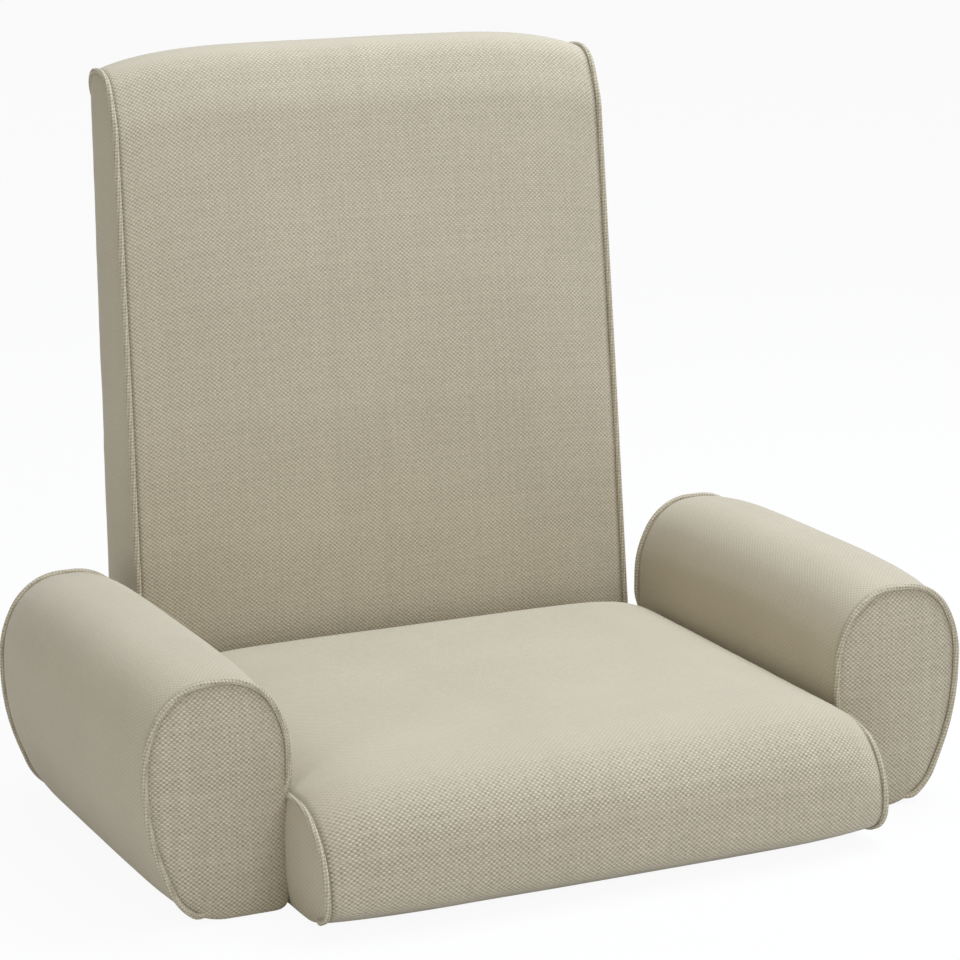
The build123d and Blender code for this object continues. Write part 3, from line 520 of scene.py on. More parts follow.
def spaced_along(path, count):
    """A closed line's points moved to even spaces."""
    runs = [(end - start).length for start, end in zip(path, path[1:] + path[:1])]
    step = sum(runs) / count
    points = []
    index, passed = 0, 0.0
    for place in range(count):
        while passed + runs[index] < place * step:
            passed += runs[index]
            index += 1
        share = (place * step - passed) / max(runs[index], 1e-9)
        points.append(path[index].lerp(path[(index + 1) % len(path)], share))
    return points


def moved_out(points, reach):
    """Points of a clockwise closed line, moved square to it."""
    count = len(points)
    moved = []
    for index, point in enumerate(points):
        along = (points[(index + 1) % count] - points[index - 1]).normalized()
        moved.append(point + Vector((-along.y, along.x)) * reach)
    return moved


def perimeter(points):
    """The length of a closed line."""
    return sum((end - start).length for start, end in zip(points, points[1:] + points[:1]))


def eased(start, end, value):
    """Goes smoothly from zero at the start to one at the end."""
    share = min(1, max(0, (value - start) / (end - start)))
    return share * share * (3 - 2 * share)


def crown_share(form, station):
    """How much of its full crown a cushion has at a station across it."""
    return 1 - abs(station) ** form.crown_power


def stations(half, grid):
    """Places across a cushion from -1 to 1, closer together at the seams."""
    inner = half - SEAM_STEPS[-1]
    count = ceil(2 * inner / grid)
    middle = [-inner + 2 * inner * step / count for step in range(1, count)]
    edges = [half - step for step in SEAM_STEPS]
    return [place / half for place in [-edge for edge in edges] + middle + edges[::-1]]


class SeatForm:
    """The seat's outline from the side, across its width."""

    body = "seat"
    crown_power = 9

    def __init__(self, sizes):
        self.sizes = sizes
        self.half = sizes.half_width
        self.spine = (Vector((SEAT_LOW.y + 0.06, 0.055)), Vector((SEAT_HIGH.y - 0.05, 0.052)))

    def outline(self, crown, count):
        sizes = self.sizes
        front = SEAT_LOW.y + (1 - crown) * sizes.nose_crown
        foot = SEAT_LOW.y + (1 - crown) * sizes.foot_crown
        top = SEAT_HIGH.z - (1 - crown) * sizes.crown
        corners = (
            (foot + sizes.under_run, 0, sizes.under_radius),
            (foot, sizes.under_rise, sizes.lip_radius),
            (front, top, sizes.nose_radius),
            (SEAT_HIGH.y, top, sizes.rear_radius),
            (SEAT_HIGH.y, 0, sizes.heel_radius),
        )
        return rounded_outline(corners, count)

    def place(self, station, point, out):
        side = RIGHT if station > 0 else LEFT
        low = max(0, 1 - max(point.y, 0) / self.sizes.tuck_height)
        half = self.half - self.sizes.side_tuck * low ** 2
        return Vector((station * half + side * out, point.x, max(point.y, 0)))

    def cord_depth(self, point):
        """The cord is sewn deep along the bottom, and a little along the top."""
        top = SEAT_HIGH.z - self.sizes.crown
        return max(eased(0.010, 0.002, point.y), 0.25 * eased(top - 0.012, top, point.y))


class BackForm:
    """The back's outline from the side, about the hinge axis, across its width."""

    body = "back"
    crown_power = 5

    def __init__(self, sizes):
        self.sizes = sizes
        self.half = sizes.half_width
        self.spine = (Vector((0.003, 0.0)), Vector((0.055, 0.5)))

    def outline(self, crown, count):
        sizes = self.sizes
        lean, rear_lean = tan(sizes.front_lean), tan(sizes.rear_lean)
        shoulder = sizes.height - sizes.shoulder_drop
        rise = crown * sizes.top_crown
        belly = sizes.edge_belly + crown * sizes.belly
        front, rear = -sizes.front_reach, sizes.rear_reach
        top = sizes.height + rise
        corners = (
            (front - sizes.foot_drop * lean, -sizes.foot_drop, sizes.foot_radius),
            (front + sizes.belly_height * lean - belly, sizes.belly_height, sizes.belly_radius),
            (front + shoulder * lean, shoulder + rise, sizes.shoulder_radius),
            (front + sizes.height * lean + sizes.shoulder_setback, top, sizes.top_radius),
            (rear + sizes.height * rear_lean, top, sizes.rear_top_radius),
            (rear - sizes.foot_drop * rear_lean, -sizes.foot_drop, sizes.foot_radius),
        )
        return rounded_outline(corners, count)

    def place(self, station, point, out):
        side = RIGHT if station > 0 else LEFT
        across = station * (self.half - point.y * tan(self.sizes.side_taper)) + side * out
        return Vector((across, HINGE.y + point.x, HINGE.z + point.y))

    def cord_depth(self, point):
        """The cord is sewn deep down the rear, and less so at the top corners."""
        rear = self.sizes.rear_reach + point.y * tan(self.sizes.rear_lean)
        low = eased(self.sizes.height - 0.012, self.sizes.height - 0.045, point.y)
        return eased(rear - 0.022, rear - 0.006, point.x) * (0.2 + 0.8 * low)


class ArmForm:
    """A bolster arm's outline from the front, along its length."""

    body = "seat"
    crown_power = 5

    def __init__(self, sizes, side):
        self.sizes = sizes
        self.side = side
        self.half = (ARM_HIGH.y - ARM_LOW.y) / 2
        self.inner = ARM_LOW.x - sizes.inset
        middle = self.inner + sizes.width / 2
        self.spine = (Vector((middle - 0.004, 0.06)), Vector((middle, sizes.height - 0.06)))

    def outline(self, crown, count):
        sizes = self.sizes
        inner = self.inner
        outer = inner + sizes.width + crown * sizes.side_crown
        top = sizes.height + crown * sizes.top_crown
        corners = (
            (inner, 0, sizes.corner_radius),
            (inner, top - sizes.shoulder_drop, sizes.shoulder_radius),
            (inner + sizes.shoulder_run, top, sizes.top_radius),
            (outer - sizes.shoulder_run, top, sizes.top_radius),
            (outer, top - sizes.shoulder_drop, sizes.shoulder_radius),
            (outer, sizes.cheek_height, sizes.cheek_radius),
            (outer - sizes.tuck, 0, sizes.tuck_radius),
        )
        return rounded_outline(corners, count)

    def place(self, station, point, out):
        end = 1 if station > 0 else -1
        along = (ARM_LOW.y + ARM_HIGH.y) / 2 + station * self.half + end * out
        return Vector((self.side * (point.x - self.toed_in(along)), along, max(point.y, 0)))

    def cord_depth(self, point):
        """The cord is sewn deep along the floor and low on the inner side."""
        inside = eased(self.inner + 0.006, self.inner + 0.002, point.x) * eased(0.11, 0.08, point.y)
        return max(eased(0.008, 0.0, point.y), 0.8 * inside)

    def toed_in(self, along):
        """How far the arm stands inwards of its front end's place."""
        return self.sizes.toe_in * (along - ARM_LOW.y) / (2 * self.half)


# Cushions
def nearest_on(spine, point):
    """The nearest point of a panel's spine."""
    start, end = spine
    run = end - start
    share = (point - start).dot(run) / run.length_squared
    return start + run * min(1, max(0, share))


def cushion(name, form, cloth):
    """A closed cushion: a cover lofted from seam to seam, and a domed panel at each end."""
    bm = bmesh.new()
    uv = bm.loops.layers.uv.new(CLOTH_MAP)
    edge = bm.verts.layers.float.new("edge")
    places = stations(form.half, cloth.grid)
    count = 2 * ceil(perimeter(form.outline(1, OUTLINE_POINTS)) / cloth.grid / 2)
    around = perimeter(form.outline(1, count))
    scale = 1 / form.sizes.weave

    def ring(points, station, out, distance):
        made = []
        for point in points:
            vertex = bm.verts.new(form.place(station, point, out))
            vertex[edge] = distance
            made.append(vertex)
        return made

    def bridge(first, second, first_map, second_map):
        for index in range(count):
            after = (index + 1) % count
            face = bm.faces.new((first[index], first[after], second[after], second[index]))
            spots = (first_map(index), first_map(index + 1), second_map(index + 1), second_map(index))
            for loop, spot in zip(face.loops, spots):
                loop[uv].uv = Vector(spot) * scale

    rings = []
    for station in places:
        distance = form.half * (1 - abs(station))
        points = form.outline(crown_share(form, station), count)
        if distance == 0:
            points = moved_out(points, -cloth.seam_tuck)
        rings.append(ring(points, station, -cloth.seam_tuck if distance == 0 else 0, distance))
    for first, second, start, end in zip(rings, rings[1:], places, places[1:]):
        bridge(
            first,
            second,
            lambda index, at=start: (at * form.half, around * index / count),
            lambda index, at=end: (at * form.half, around * index / count),
        )
    for station, seam in ((places[0], rings[0]), (places[-1], rings[-1])):
        panel(form, cloth, station, seam, ring, bridge, count)
    bmesh.ops.remove_doubles(bm, verts=bm.verts, dist=1e-5)
    bmesh.ops.recalc_face_normals(bm, faces=bm.faces)
    mesh = bpy.data.meshes.new(name)
    bm.to_mesh(mesh)
    bm.free()
    return add_object(name, mesh)


def panel(form, cloth, station, seam, ring, bridge, count):
    """An end panel: rings that close in on the panel's spine and swell outwards."""
    edge = moved_out(form.outline(0, count), -cloth.seam_tuck)
    start, end = form.spine
    pole = min(range(count), key=lambda index: (edge[index] - start).dot(end - start))
    twins = [edge[(2 * pole - index) % count] for index in range(count)]
    middle = [nearest_on(form.spine, (point + twin) / 2) for point, twin in zip(edge, twins)]
    reach = max((near - point).length for near, point in zip(middle, edge))
    steps = ceil(reach / cloth.grid)
    before, before_points = seam, edge
    for step in range(1, steps + 1):
        share = step / steps
        points = [point.lerp(near, share) for point, near in zip(edge, middle)]
        swell = form.sizes.dome * (1 - (1 - share) ** 2.5) - cloth.seam_tuck * (1 - share) ** 6
        made = ring(points, station, swell, share * reach)
        bridge(
            before,
            made,
            lambda index, at=before_points: at[index % count],
            lambda index, at=points: at[index % count],
        )
        before, before_points = made, points


def add_object(name, data):
    """An object in the scene, from a mesh, a light or a camera."""
    piece = bpy.data.objects.new(name, data)
    bpy.context.scene.collection.objects.link(piece)
    return piece


def unchanged(spot):
    """The place of a cover that has no limits to keep within."""
    return spot


def wholly_filled(spot):
    """The share of its swelling that a cover takes where nothing turns close to it."""
    return 1.0


def filled(piece, cloth, keep_in, fill_share, least_calm_and_sheen):
    """Blows a cover up against its pinned seams, puckers it, keeps it within limits and smooths it."""
    mesh = piece.data
    edges = [item.value for item in mesh.attributes["edge"].data]
    rest = [vertex.co.copy() for vertex in mesh.vertices]
    normals = [vertex.normal.copy() for vertex in mesh.vertices]
    pushed = blown_up(piece, cloth, [index for index, far in enumerate(edges) if far == 0])
    swells = [
        min(cloth.fill_limit, max(0, (end - start).dot(normal)))
        for start, end, normal in zip(rest, pushed, normals)
    ]
    for vertex, swell, normal in zip(mesh.vertices, evened(mesh, swells), normals):
        vertex.co += normal * swell * fill_share(vertex.co)
    for vertex, far in zip(mesh.vertices, edges):
        fade = exp(-far / PUCKER_REACH) * min(1, far / PUCKER_START)
        ripple = noise.noise(vertex.co * RIPPLE_SCALE) * cloth.pucker * fade * 2
        soft = noise.noise(vertex.co * SWELL_SCALE) * cloth.pucker
        vertex.co += vertex.normal * (ripple + soft)
        vertex.co = keep_in(vertex.co)
    mesh.attributes.remove(mesh.attributes["edge"])
    # Where the cover faces up or to the sides: the finish softens the weave there and paints a sheen on
    # it
    calm_and_sheen = [max(least_calm_and_sheen, eased(0.85, 0.3, abs(vertex.normal.y))) for vertex in mesh.vertices]
    store(mesh, CALM_AND_SHEEN_MAP, calm_and_sheen)
    # Painted shade: marks the cloth within a few millimetres of each seam, where the finish darkens it as
    # shade in the groove beside the cord
    painted_shade_reach = (SEAM_STEPS[1] + SEAM_STEPS[2]) / 2
    store(mesh, PAINTED_SEAM_SHADE_MAP, [1.0 if 0 < far < painted_shade_reach else 0.0 for far in edges])
    smooth = piece.modifiers.new("smooth", "SUBSURF")
    smooth.levels = smooth.render_levels = 1
    make_plain(piece)
    piece.data.shade_smooth()


def store(mesh, name, values):
    """Keeps a value for each vertex, for the cloth's finish."""
    attribute = mesh.attributes.new(name, "FLOAT", "POINT")
    attribute.data.foreach_set("value", values)


def evened(mesh, values):
    """Each vertex's value, averaged with its neighbours' again and again."""
    near = [[] for _ in values]
    for edge in mesh.edges:
        first, second = edge.vertices
        near[first].append(second)
        near[second].append(first)
    for _ in range(EVEN_ROUNDS):
        values = [
            (value + sum(values[other] for other in others)) / (1 + len(others))
            for value, others in zip(values, near)
        ]
    return values


def blown_up(piece, cloth, seams):
    """Where a cloth simulation puts each vertex."""
    group = piece.vertex_groups.new(name="seams")
    group.add(seams, 1.0, "REPLACE")
    fill = piece.modifiers.new("fill", "CLOTH")
    settings = fill.settings
    settings.quality = 5
    settings.mass = 0.3
    settings.tension_stiffness = settings.compression_stiffness = 15
    settings.bending_stiffness = 0.5
    settings.use_pressure = True
    settings.uniform_pressure_force = cloth.pressure
    settings.vertex_group_mass = group.name
    settings.effector_weights.gravity = 0
    fill.collision_settings.use_collision = False
    fill.point_cache.frame_end = FILL_FRAMES
    scene = bpy.context.scene
    for step in range(1, FILL_FRAMES + 1):
        scene.frame_set(step)
    shown = piece.evaluated_get(bpy.context.evaluated_depsgraph_get())
    pushed = [vertex.co.copy() for vertex in shown.data.vertices]
    piece.modifiers.remove(fill)
    piece.vertex_groups.remove(group)
    scene.frame_set(1)
    return pushed


def make_plain(piece):
    """Replaces an object's mesh by what its modifiers make of it."""
    shown = piece.evaluated_get(bpy.context.evaluated_depsgraph_get())
    mesh = bpy.data.meshes.new_from_object(shown)
    piece.modifiers.clear()
    piece.data = mesh


def dress(piece, material, body, slot, *nodes):
    """Gives a piece its finish and its place in the frame."""
    piece.data.materials.clear()
    piece.data.materials.append(material)
    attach(piece, body)
    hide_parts(*nodes)


# Each metal's dull colour, bright colour, roughness and grain
METALS = {
    "hinge steel": ((0.36, 0.36, 0.37), (0.62, 0.61, 0.6), 0.3, 60.0),
    "spring steel": ((0.1, 0.11, 0.14), (0.22, 0.23, 0.27), 0.28, 80.0),
    "zinc plate": ((0.5, 0.5, 0.47), (0.75, 0.75, 0.72), 0.25, 90.0),
}


def finish_named(name):
    """A finish that every piece of one kind shares, made once."""
    cloth = bpy.context.scene.floor_chair.cloth
    makers = {
        "cover cloth": lambda: weave_finish("cover cloth", cloth, False),
        "piping cloth": lambda: weave_finish("piping cloth", cloth, True),
        "lining cloth": lining_finish,
        "elastic strap": strap_finish,
        "powder coat": coated_tube_finish,
        "birch plywood": plywood_finish,
        "moulded nylon": moulded_finish,
    }
    for metal, values in METALS.items():
        makers[metal] = lambda metal=metal, values=values: metal_finish(metal, *values)
    return bpy.data.materials.get(name) or makers[name]()


# Piping
def piping_tree():
    """A cord round a closed line, with a cloth map wound round it."""
    tree = bpy.data.node_groups.new("piping cord", "GeometryNodeTree")
    tree.interface.new_socket("Geometry", in_out="INPUT", socket_type="NodeSocketGeometry")
    for name in ("Radius", "Spacing"):
        tree.interface.new_socket(name, in_out="INPUT", socket_type="NodeSocketFloat")
    tree.interface.new_socket("Finish", in_out="INPUT", socket_type="NodeSocketMaterial")
    tree.interface.new_socket("Geometry", in_out="OUTPUT", socket_type="NodeSocketGeometry")
    group = Wire.add(tree, "NodeGroupInput")
    line = Wire.add(tree, "GeometryNodeMeshToCurve", inputs={"Mesh": group})
    line = Wire.add(
        tree,
        "GeometryNodeResampleCurve",
        {"mode": "LENGTH"},
        {"Curve": line, "Length": group.of("Spacing")},
    )
    ring = Wire.add(
        tree,
        "GeometryNodeCurveArc",
        {"mode": "RADIUS"},
        {"Resolution": CORD_SIDES + 1, "Radius": group.of("Radius"), "Sweep Angle": 2 * pi},
    )
    line, along = captured_length(tree, line)
    ring, around = captured_length(tree, ring)
    cord = Wire.add(tree, "GeometryNodeCurveToMesh", inputs={"Curve": line, "Profile Curve": ring})
    spot = Wire.add(tree, "ShaderNodeCombineXYZ", inputs={"X": around, "Y": along})
    cord = Wire.add(
        tree,
        "GeometryNodeStoreNamedAttribute",
        {"data_type": "FLOAT2", "domain": "CORNER"},
        {"Geometry": cord, "Name": CLOTH_MAP, "Value": spot},
    )
    cord = Wire.add(tree, "GeometryNodeMergeByDistance", inputs={"Geometry": cord, "Distance": 1e-5})
    cord = Wire.add(tree, "GeometryNodeSetShadeSmooth", inputs={"Geometry": cord})
    cord = Wire.add(tree, "GeometryNodeRealizeInstances", inputs={"Geometry": cord})
    cord = Wire.add(
        tree, "GeometryNodeSetMaterial", inputs={"Geometry": cord, "Material": group.of("Finish")}
    )
    out = tree.nodes.new("NodeGroupOutput")
    tree.links.new(cord.socket, out.inputs["Geometry"])
    return tree


def captured_length(tree, curve):
    """A curve that remembers how far along it each point lies."""
    node = tree.nodes.new("GeometryNodeCaptureAttribute")
    node.capture_items.new("FLOAT", "Length")
    parameter = Wire.add(tree, "GeometryNodeSplineParameter", output="Length")
    tree.links.new(curve.socket, node.inputs["Geometry"])
    tree.links.new(parameter.socket, node.inputs["Length"])
    return Wire(node.outputs["Geometry"]), Wire(node.outputs["Length"])


def piping_cord(name, form, station, cloth, node):
    """The cord along one seam of a cushion."""
    count = ceil(perimeter(form.outline(0, OUTLINE_POINTS)) / cloth.grid) * 3
    seam = form.outline(0, count)
    line = []
    for near, far in zip(seam, moved_out(seam, cloth.piping_radius)):
        depth = CORD_SINK * form.cord_depth(near)
        point = near.lerp(far, cloth.piping_lift / cloth.piping_radius - depth)
        line.append(form.place(station, point, cloth.piping_standoff - cloth.piping_radius * depth))
    if form.body == "seat":
        line = [Vector((spot.x, spot.y, max(spot.z, cloth.piping_radius))) for spot in line]
    mesh = bpy.data.meshes.new(name)
    mesh.from_pydata(line, [(index, (index + 1) % count) for index in range(count)], [])
    piece = add_object(name, mesh)
    tree = bpy.data.node_groups.get("piping cord") or piping_tree()
    modifier = piece.modifiers.new("cord", "NODES")
    modifier.node_group = tree
    finish = finish_named("piping cloth")
    values = {"Radius": cloth.piping_radius, "Spacing": CORD_SPACING, "Finish": finish}
    for item in tree.interface.items_tree:
        if item.in_out == "INPUT" and item.name in values:
            modifier[item.identifier] = values[item.name]
    make_plain(piece)
    dress(piece, finish, form.body, "piping_fabric", node)


# Operators
def upholster(name, form, cloth, nodes, keep_in=unchanged, fill_share=wholly_filled, least_calm_and_sheen=0.0):
    """A finished cushion in place of its CAD nodes."""
    piece = cushion(name, form, cloth)
    filled(piece, cloth, keep_in, fill_share, least_calm_and_sheen)
    dress(piece, finish_named("cover cloth"), form.body, "cover_fabric", *nodes)


class FLOORCHAIR_OT_seat(bpy.types.Operator):
    """Makes the seat cushion with its piping"""

    bl_idname = "floor_chair.seat"
    bl_label = "Seat cushion"

    def execute(self, context):
        chair = context.scene.floor_chair
        form = SeatForm(chair.seat)
        reach = form.half + chair.seat.dome

        def keep_in(spot):
            side = max(-reach, min(reach, spot.x))
            lining_front = LINING_LOW.y + LINING_SETBACK
            lined = LINING_LOW.x < side < LINING_HIGH.x and lining_front < spot.y < LINING_HIGH.y
            floor = LINING_ROOM if lined else 0
            return Vector((side, min(spot.y, SEAT_HIGH.y), max(floor, spot.z)))

        def fill_share(spot):
            return eased(*SEAT_STILL_BAND, SEAT_HIGH.y - spot.y)

        nodes = ("seat_cover", "seat_top_foam", "seat_base_foam")
        upholster("seat_cushion", form, chair.cloth, nodes, keep_in, fill_share)
        for side, name in SIDES:
            piping_cord("seat_piping_cord_" + name, form, side, chair.cloth, "seat_piping_" + name)
        return {"FINISHED"}


class FLOORCHAIR_OT_back(bpy.types.Operator):
    """Makes the back cushion with its piping"""

    bl_idname = "floor_chair.back"
    bl_label = "Back cushion"

    def execute(self, context):
        chair = context.scene.floor_chair
        form = BackForm(chair.back)

        def fill_share(spot):
            place = spot - HINGE
            return max(eased(*BACK_STILL_BAND, place.z), eased(*BACK_FRONT_BAND, place.y))

        nodes = ("back_cover", "back_front_foam", "back_rear_foam")
        upholster("back_cushion", form, chair.cloth, nodes, fill_share=fill_share, least_calm_and_sheen=0.3)
        for side, name in SIDES:
            piping_cord("back_piping_cord_" + name, form, side, chair.cloth, "back_piping_" + name)
        return {"FINISHED"}


class FLOORCHAIR_OT_arms(bpy.types.Operator):
    """Makes the two bolster arms with their piping"""

    bl_idname = "floor_chair.arms"
    bl_label = "Bolster arms"

    def execute(self, context):
        chair = context.scene.floor_chair
        for side, name in SIDES:
            form = ArmForm(chair.arm, side)

            def keep_in(spot, form=form):
                inner = form.inner - form.toed_in(spot.y)
                return Vector((form.side * max(inner, form.side * spot.x), spot.y, max(0, spot.z)))

            nodes = ("arm_cover_" + name, "arm_foam_" + name)
            upholster("arm_bolster_" + name, form, chair.cloth, nodes, keep_in)
            for end, place in ((-1, "front"), (1, "rear")):
                node = "arm_" + place + "_piping_" + name
                piping_cord("arm_" + place + "_cord_" + name, form, end, chair.cloth, node)
        return {"FINISHED"}


class FLOORCHAIR_OT_crease(bpy.types.Operator):
    """Makes the cloth strip in the crease and the lining under the seat"""

    bl_idname = "floor_chair.crease"
    bl_label = "Crease strip and lining"

    def execute(self, context):
        strip = crease_strip()
        dress_sheet(strip, finish_named("cover cloth"), "crease_gusset")
        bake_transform(strip)
        lining = lining_sheet()
        dress_sheet(lining, finish_named("lining cloth"), "seat_base_cloth")
        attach(lining, "seat")
        return {"FINISHED"}


def dress_sheet(piece, material, node):
    """Gives a sheet its finish and the CAD node that it stands for."""
    piece.data.materials.append(material)
    piece.data.shade_smooth()
    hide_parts(node)


def strip_mesh(name, rows):
    """A sheet through rows of points, with a cloth map."""
    bm = bmesh.new()
    uv = bm.loops.layers.uv.new(CLOTH_MAP)
    made = [[bm.verts.new(spot) for spot in row] for row in rows]
    along = [0.0]
    for first, second in zip(rows, rows[1:]):
        along.append(along[-1] + (second[0] - first[0]).length)
    for step in range(len(rows) - 1):
        for index in range(len(rows[0]) - 1):
            corners = ((step, index), (step, index + 1), (step + 1, index + 1), (step + 1, index))
            face = bm.faces.new([made[row][column] for row, column in corners])
            for loop, (row, column) in zip(face.loops, corners):
                loop[uv].uv = (rows[row][column].x, along[row])
    mesh = bpy.data.meshes.new(name)
    bm.to_mesh(mesh)
    bm.free()
    return add_object(name, mesh)


def thicken(piece, thickness):
    """Gives a sheet its thickness, half to each side."""
    wall = piece.modifiers.new("wall", "SOLIDIFY")
    wall.thickness = thickness
    wall.offset = 0
    make_plain(piece)


def crease_strip():
    """A strip folded down between the seat and the back."""
    front, rear = GUSSET_LOW.y + STRIP_THICKNESS / 2, GUSSET_HIGH.y - STRIP_THICKNESS / 2
    top = GUSSET_HIGH.z
    radius = (rear - front) / 2
    bottom = GUSSET_LOW.z + STRIP_THICKNESS / 2 + radius
    side = [(front, top + (bottom - top) * step / 8) for step in range(8)]
    fold = [
        ((front + rear) / 2 - radius * cos(pi * step / 8), bottom - radius * sin(pi * step / 8))
        for step in range(9)
    ]
    profile = side + fold + [(rear + front - y, z) for y, z in reversed(side)]
    columns = 40
    width = GUSSET_HIGH.x - GUSSET_LOW.x
    rows = [
        [Vector((GUSSET_LOW.x + width * column / columns, y, z)) for column in range(columns + 1)]
        for y, z in profile
    ]
    strip = strip_mesh("crease_strip", rows)
    thicken(strip, STRIP_THICKNESS)
    return strip


def lining_sheet():
    """The lining, held taut under the seat, with shallow puckers along its turned edges."""
    columns, lines = 52, 44
    front = LINING_LOW.y + LINING_SETBACK
    span = LINING_HIGH - LINING_LOW - Vector((0, LINING_SETBACK, 0))
    rows = []
    for line in range(lines + 1):
        row = []
        for column in range(columns + 1):
            across, along = column / columns, line / lines
            rim = min(across, 1 - across, along, 1 - along)
            pucker = LINING_PUCKER * sin(across * 90) * sin(along * 80) * exp(-rim * 14)
            height = LINING_LOW.z + span.z / 2 + pucker
            row.append(Vector((LINING_LOW.x + span.x * across, front + span.y * along, height)))
        rows.append(row)
    sheet = strip_mesh("seat_lining", rows)
    thicken(sheet, LINING_THICKNESS)
    return sheet


class FLOORCHAIR_OT_hardware(bpy.types.Operator):
    """Gives the frame, hinges, boards and fasteners their finishes"""

    bl_idname = "floor_chair.hardware"
    bl_label = "Frame and hardware"

    def execute(self, context):
        finishes = {
            "powder coat": ("seat_frame", "seat_cross_tubes", "back_frame", "back_cross_tube"),
            "hinge steel": ("hinge_ratchet", "hinge_case", "pawl_left", "pawl_right"),
            "spring steel": ("pawl_spring",),
            "zinc plate": (
                "ratchet_rivets",
                "case_rivets",
                "hinge_pivots",
                "pawl_pins",
                "arm_bolts",
                "arm_washers",
                "arm_tee_nuts",
            ),
            "elastic strap": ("seat_straps", "back_straps"),
            "birch plywood": ("arm_inner_board", "arm_base_board", "arm_front_former", "arm_rear_former"),
            "moulded nylon": ("arm_spacers",),
        }
        for finish, starts in finishes.items():
            for name, node in frame["nodes"].items():
                if name.startswith(starts):
                    node.data.materials.clear()
                    node.data.materials.append(finish_named(finish))
        return {"FINISHED"}


class FLOORCHAIR_OT_stage(bpy.types.Operator):
    """Makes the floor, the lights and the camera"""

    bl_idname = "floor_chair.stage"
    bl_label = "Stage"

    def execute(self, context):
        settings = context.scene.floor_chair.stage
        context.scene.view_settings.view_transform = "Standard"
        make_floor()
        make_world(settings)
        overhead = add_light("overhead light", (1.0, -0.1, 2.5), (0, -0.05, 0.1), 1.7, settings.overhead)
        overhead.data.color = COOL_WHITE
        add_light("front light", (0.2, -2.6, 1.3), (0, 0, 0.25), 1.6, settings.front)
        add_light("side light", (-2.2, -0.9, 0.45), (0, -0.1, 0.15), 0.8, settings.side)
        make_camera(settings)
        return {"FINISHED"}


def seen_directly(tree):
    """One for rays that show the stage itself, from the camera, a mirror or glass."""
    path = Wire.add(tree, "ShaderNodeLightPath", output="Is Camera Ray")
    seen = path.math("MAXIMUM", path.of("Is Glossy Ray"))
    return seen.math("MAXIMUM", path.of("Is Transmission Ray"))


def make_floor():
    """A wide white floor that keeps the shadows and is clear from below."""
    mesh = bpy.data.meshes.new("floor")
    signs = ((-1, -1), (1, -1), (1, 1), (-1, 1))
    corners = [(x * FLOOR_REACH, y * FLOOR_REACH, FLOOR_LEVEL) for x, y in signs]
    mesh.from_pydata(corners, [], [(0, 1, 2, 3)])
    floor_piece = add_object("floor", mesh)
    material = bpy.data.materials.new("white floor")
    material.use_nodes = True
    tree = material.node_tree
    tree.nodes.clear()
    grey = (FLOOR_SHADE, FLOOR_SHADE, FLOOR_SHADE, 1)
    dull = Wire.add(tree, "ShaderNodeBsdfDiffuse", inputs={"Color": grey})
    white = Wire.add(tree, "ShaderNodeEmission", inputs={"Color": (1, 1, 1, 1), "Strength": 1.0})
    whiteness = seen_directly(tree) * FLOOR_WHITENESS
    mixed = Wire.add(tree, "ShaderNodeMixShader", inputs={0: whiteness, 1: dull, 2: white})
    clear = Wire.add(tree, "ShaderNodeBsdfTransparent")
    from_below = Wire.add(tree, "ShaderNodeNewGeometry", output="Backfacing")
    one_sided = Wire.add(tree, "ShaderNodeMixShader", inputs={0: from_below, 1: mixed, 2: clear})
    out = tree.nodes.new("ShaderNodeOutputMaterial")
    tree.links.new(one_sided.socket, out.inputs["Surface"])
    mesh.materials.append(material)
    floor_piece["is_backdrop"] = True


def make_world(settings):
    """A white surrounding that lights less than it shows."""
    world = bpy.data.worlds.new("white room")
    bpy.context.scene.world = world
    world.use_nodes = True
    tree = world.node_tree
    tree.nodes.clear()
    seen = seen_directly(tree)
    strength = seen + (1 - seen) * settings.ambient
    sky = Wire.add(tree, "ShaderNodeBackground", inputs={"Color": (1, 1, 1, 1), "Strength": strength})
    out = tree.nodes.new("ShaderNodeOutputWorld")
    tree.links.new(sky.socket, out.inputs["Surface"])


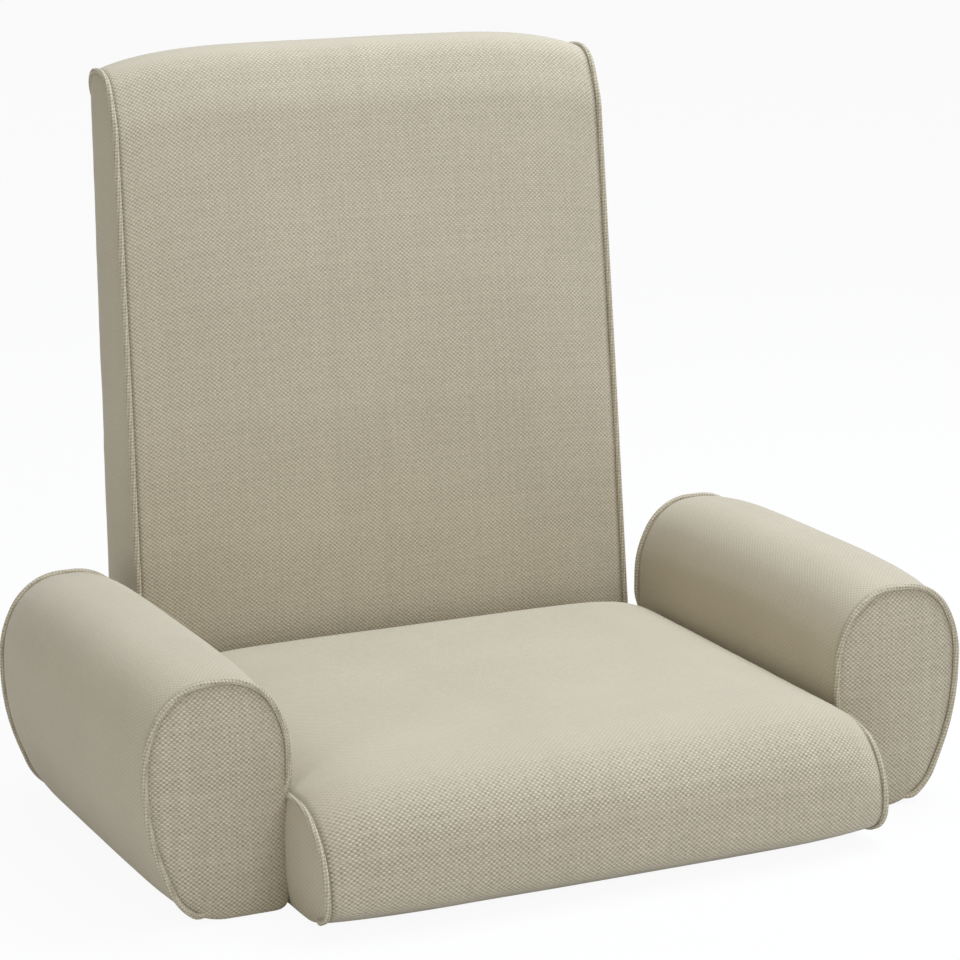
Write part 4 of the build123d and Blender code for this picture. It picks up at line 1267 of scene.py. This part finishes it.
def add_light(name, place, target, size, watts):
    """A square light, turned to its target."""
    lamp = bpy.data.lights.new(name, "AREA")
    lamp.shape = "SQUARE"
    lamp.size = size
    lamp.energy = watts
    light = add_object(name, lamp)
    light.location = place
    light.rotation_euler = (Vector(target) - Vector(place)).to_track_quat("-Z", "Y").to_euler()
    return light


def make_camera(settings):
    """The camera, at its angles and distance from its target."""
    lens = bpy.data.cameras.new("camera")
    lens.lens = settings.lens
    lens.sensor_width = SENSOR_WIDTH
    camera = add_object("camera", lens)
    turn, rise = settings.azimuth, settings.elevation
    away = Vector((sin(turn) * cos(rise), -cos(turn) * cos(rise), sin(rise)))
    camera.location = Vector(settings.target) + away * settings.distance
    camera.rotation_euler = (-away).to_track_quat("-Z", "Y").to_euler()
    bpy.context.scene.camera = camera


STEPS = (
    FLOORCHAIR_OT_stage,
    FLOORCHAIR_OT_hardware,
    FLOORCHAIR_OT_seat,
    FLOORCHAIR_OT_back,
    FLOORCHAIR_OT_arms,
    FLOORCHAIR_OT_crease,
)


class FLOORCHAIR_PT_pieces(bpy.types.Panel):
    """Lists the chair's pieces"""

    bl_idname = "FLOORCHAIR_PT_pieces"
    bl_label = "Floor chair"
    bl_space_type = "VIEW_3D"
    bl_region_type = "UI"
    bl_category = "Floor chair"

    def draw(self, context):
        for step in STEPS:
            self.layout.operator(step.bl_idname)
        for group in ("seat", "back", "arm", "cloth", "stage"):
            settings = getattr(context.scene.floor_chair, group)
            box = self.layout.box()
            box.label(text=group.title())
            for name in settings.__annotations__:
                box.prop(settings, name, text=name.replace("_", " ").capitalize())


CLASSES = (
    SeatSettings,
    BackSettings,
    ArmSettings,
    ClothSettings,
    StageSettings,
    ChairSettings,
    *STEPS,
    FLOORCHAIR_PT_pieces,
)


def register():
    for cls in CLASSES:
        bpy.utils.register_class(cls)
    bpy.types.Scene.floor_chair = PointerProperty(type=ChairSettings)


def unregister():
    del bpy.types.Scene.floor_chair
    for cls in reversed(CLASSES):
        bpy.utils.unregister_class(cls)


def main():
    register()
    for step in STEPS:
        group, name = step.bl_idname.split(".")
        getattr(getattr(bpy.ops, group), name)()
    boxes = {"cad": cad_box, "visual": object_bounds()}
    boxes = {name: [list(corner) for corner in box] for name, box in boxes.items()}


if __name__ == "__main__":
    main()
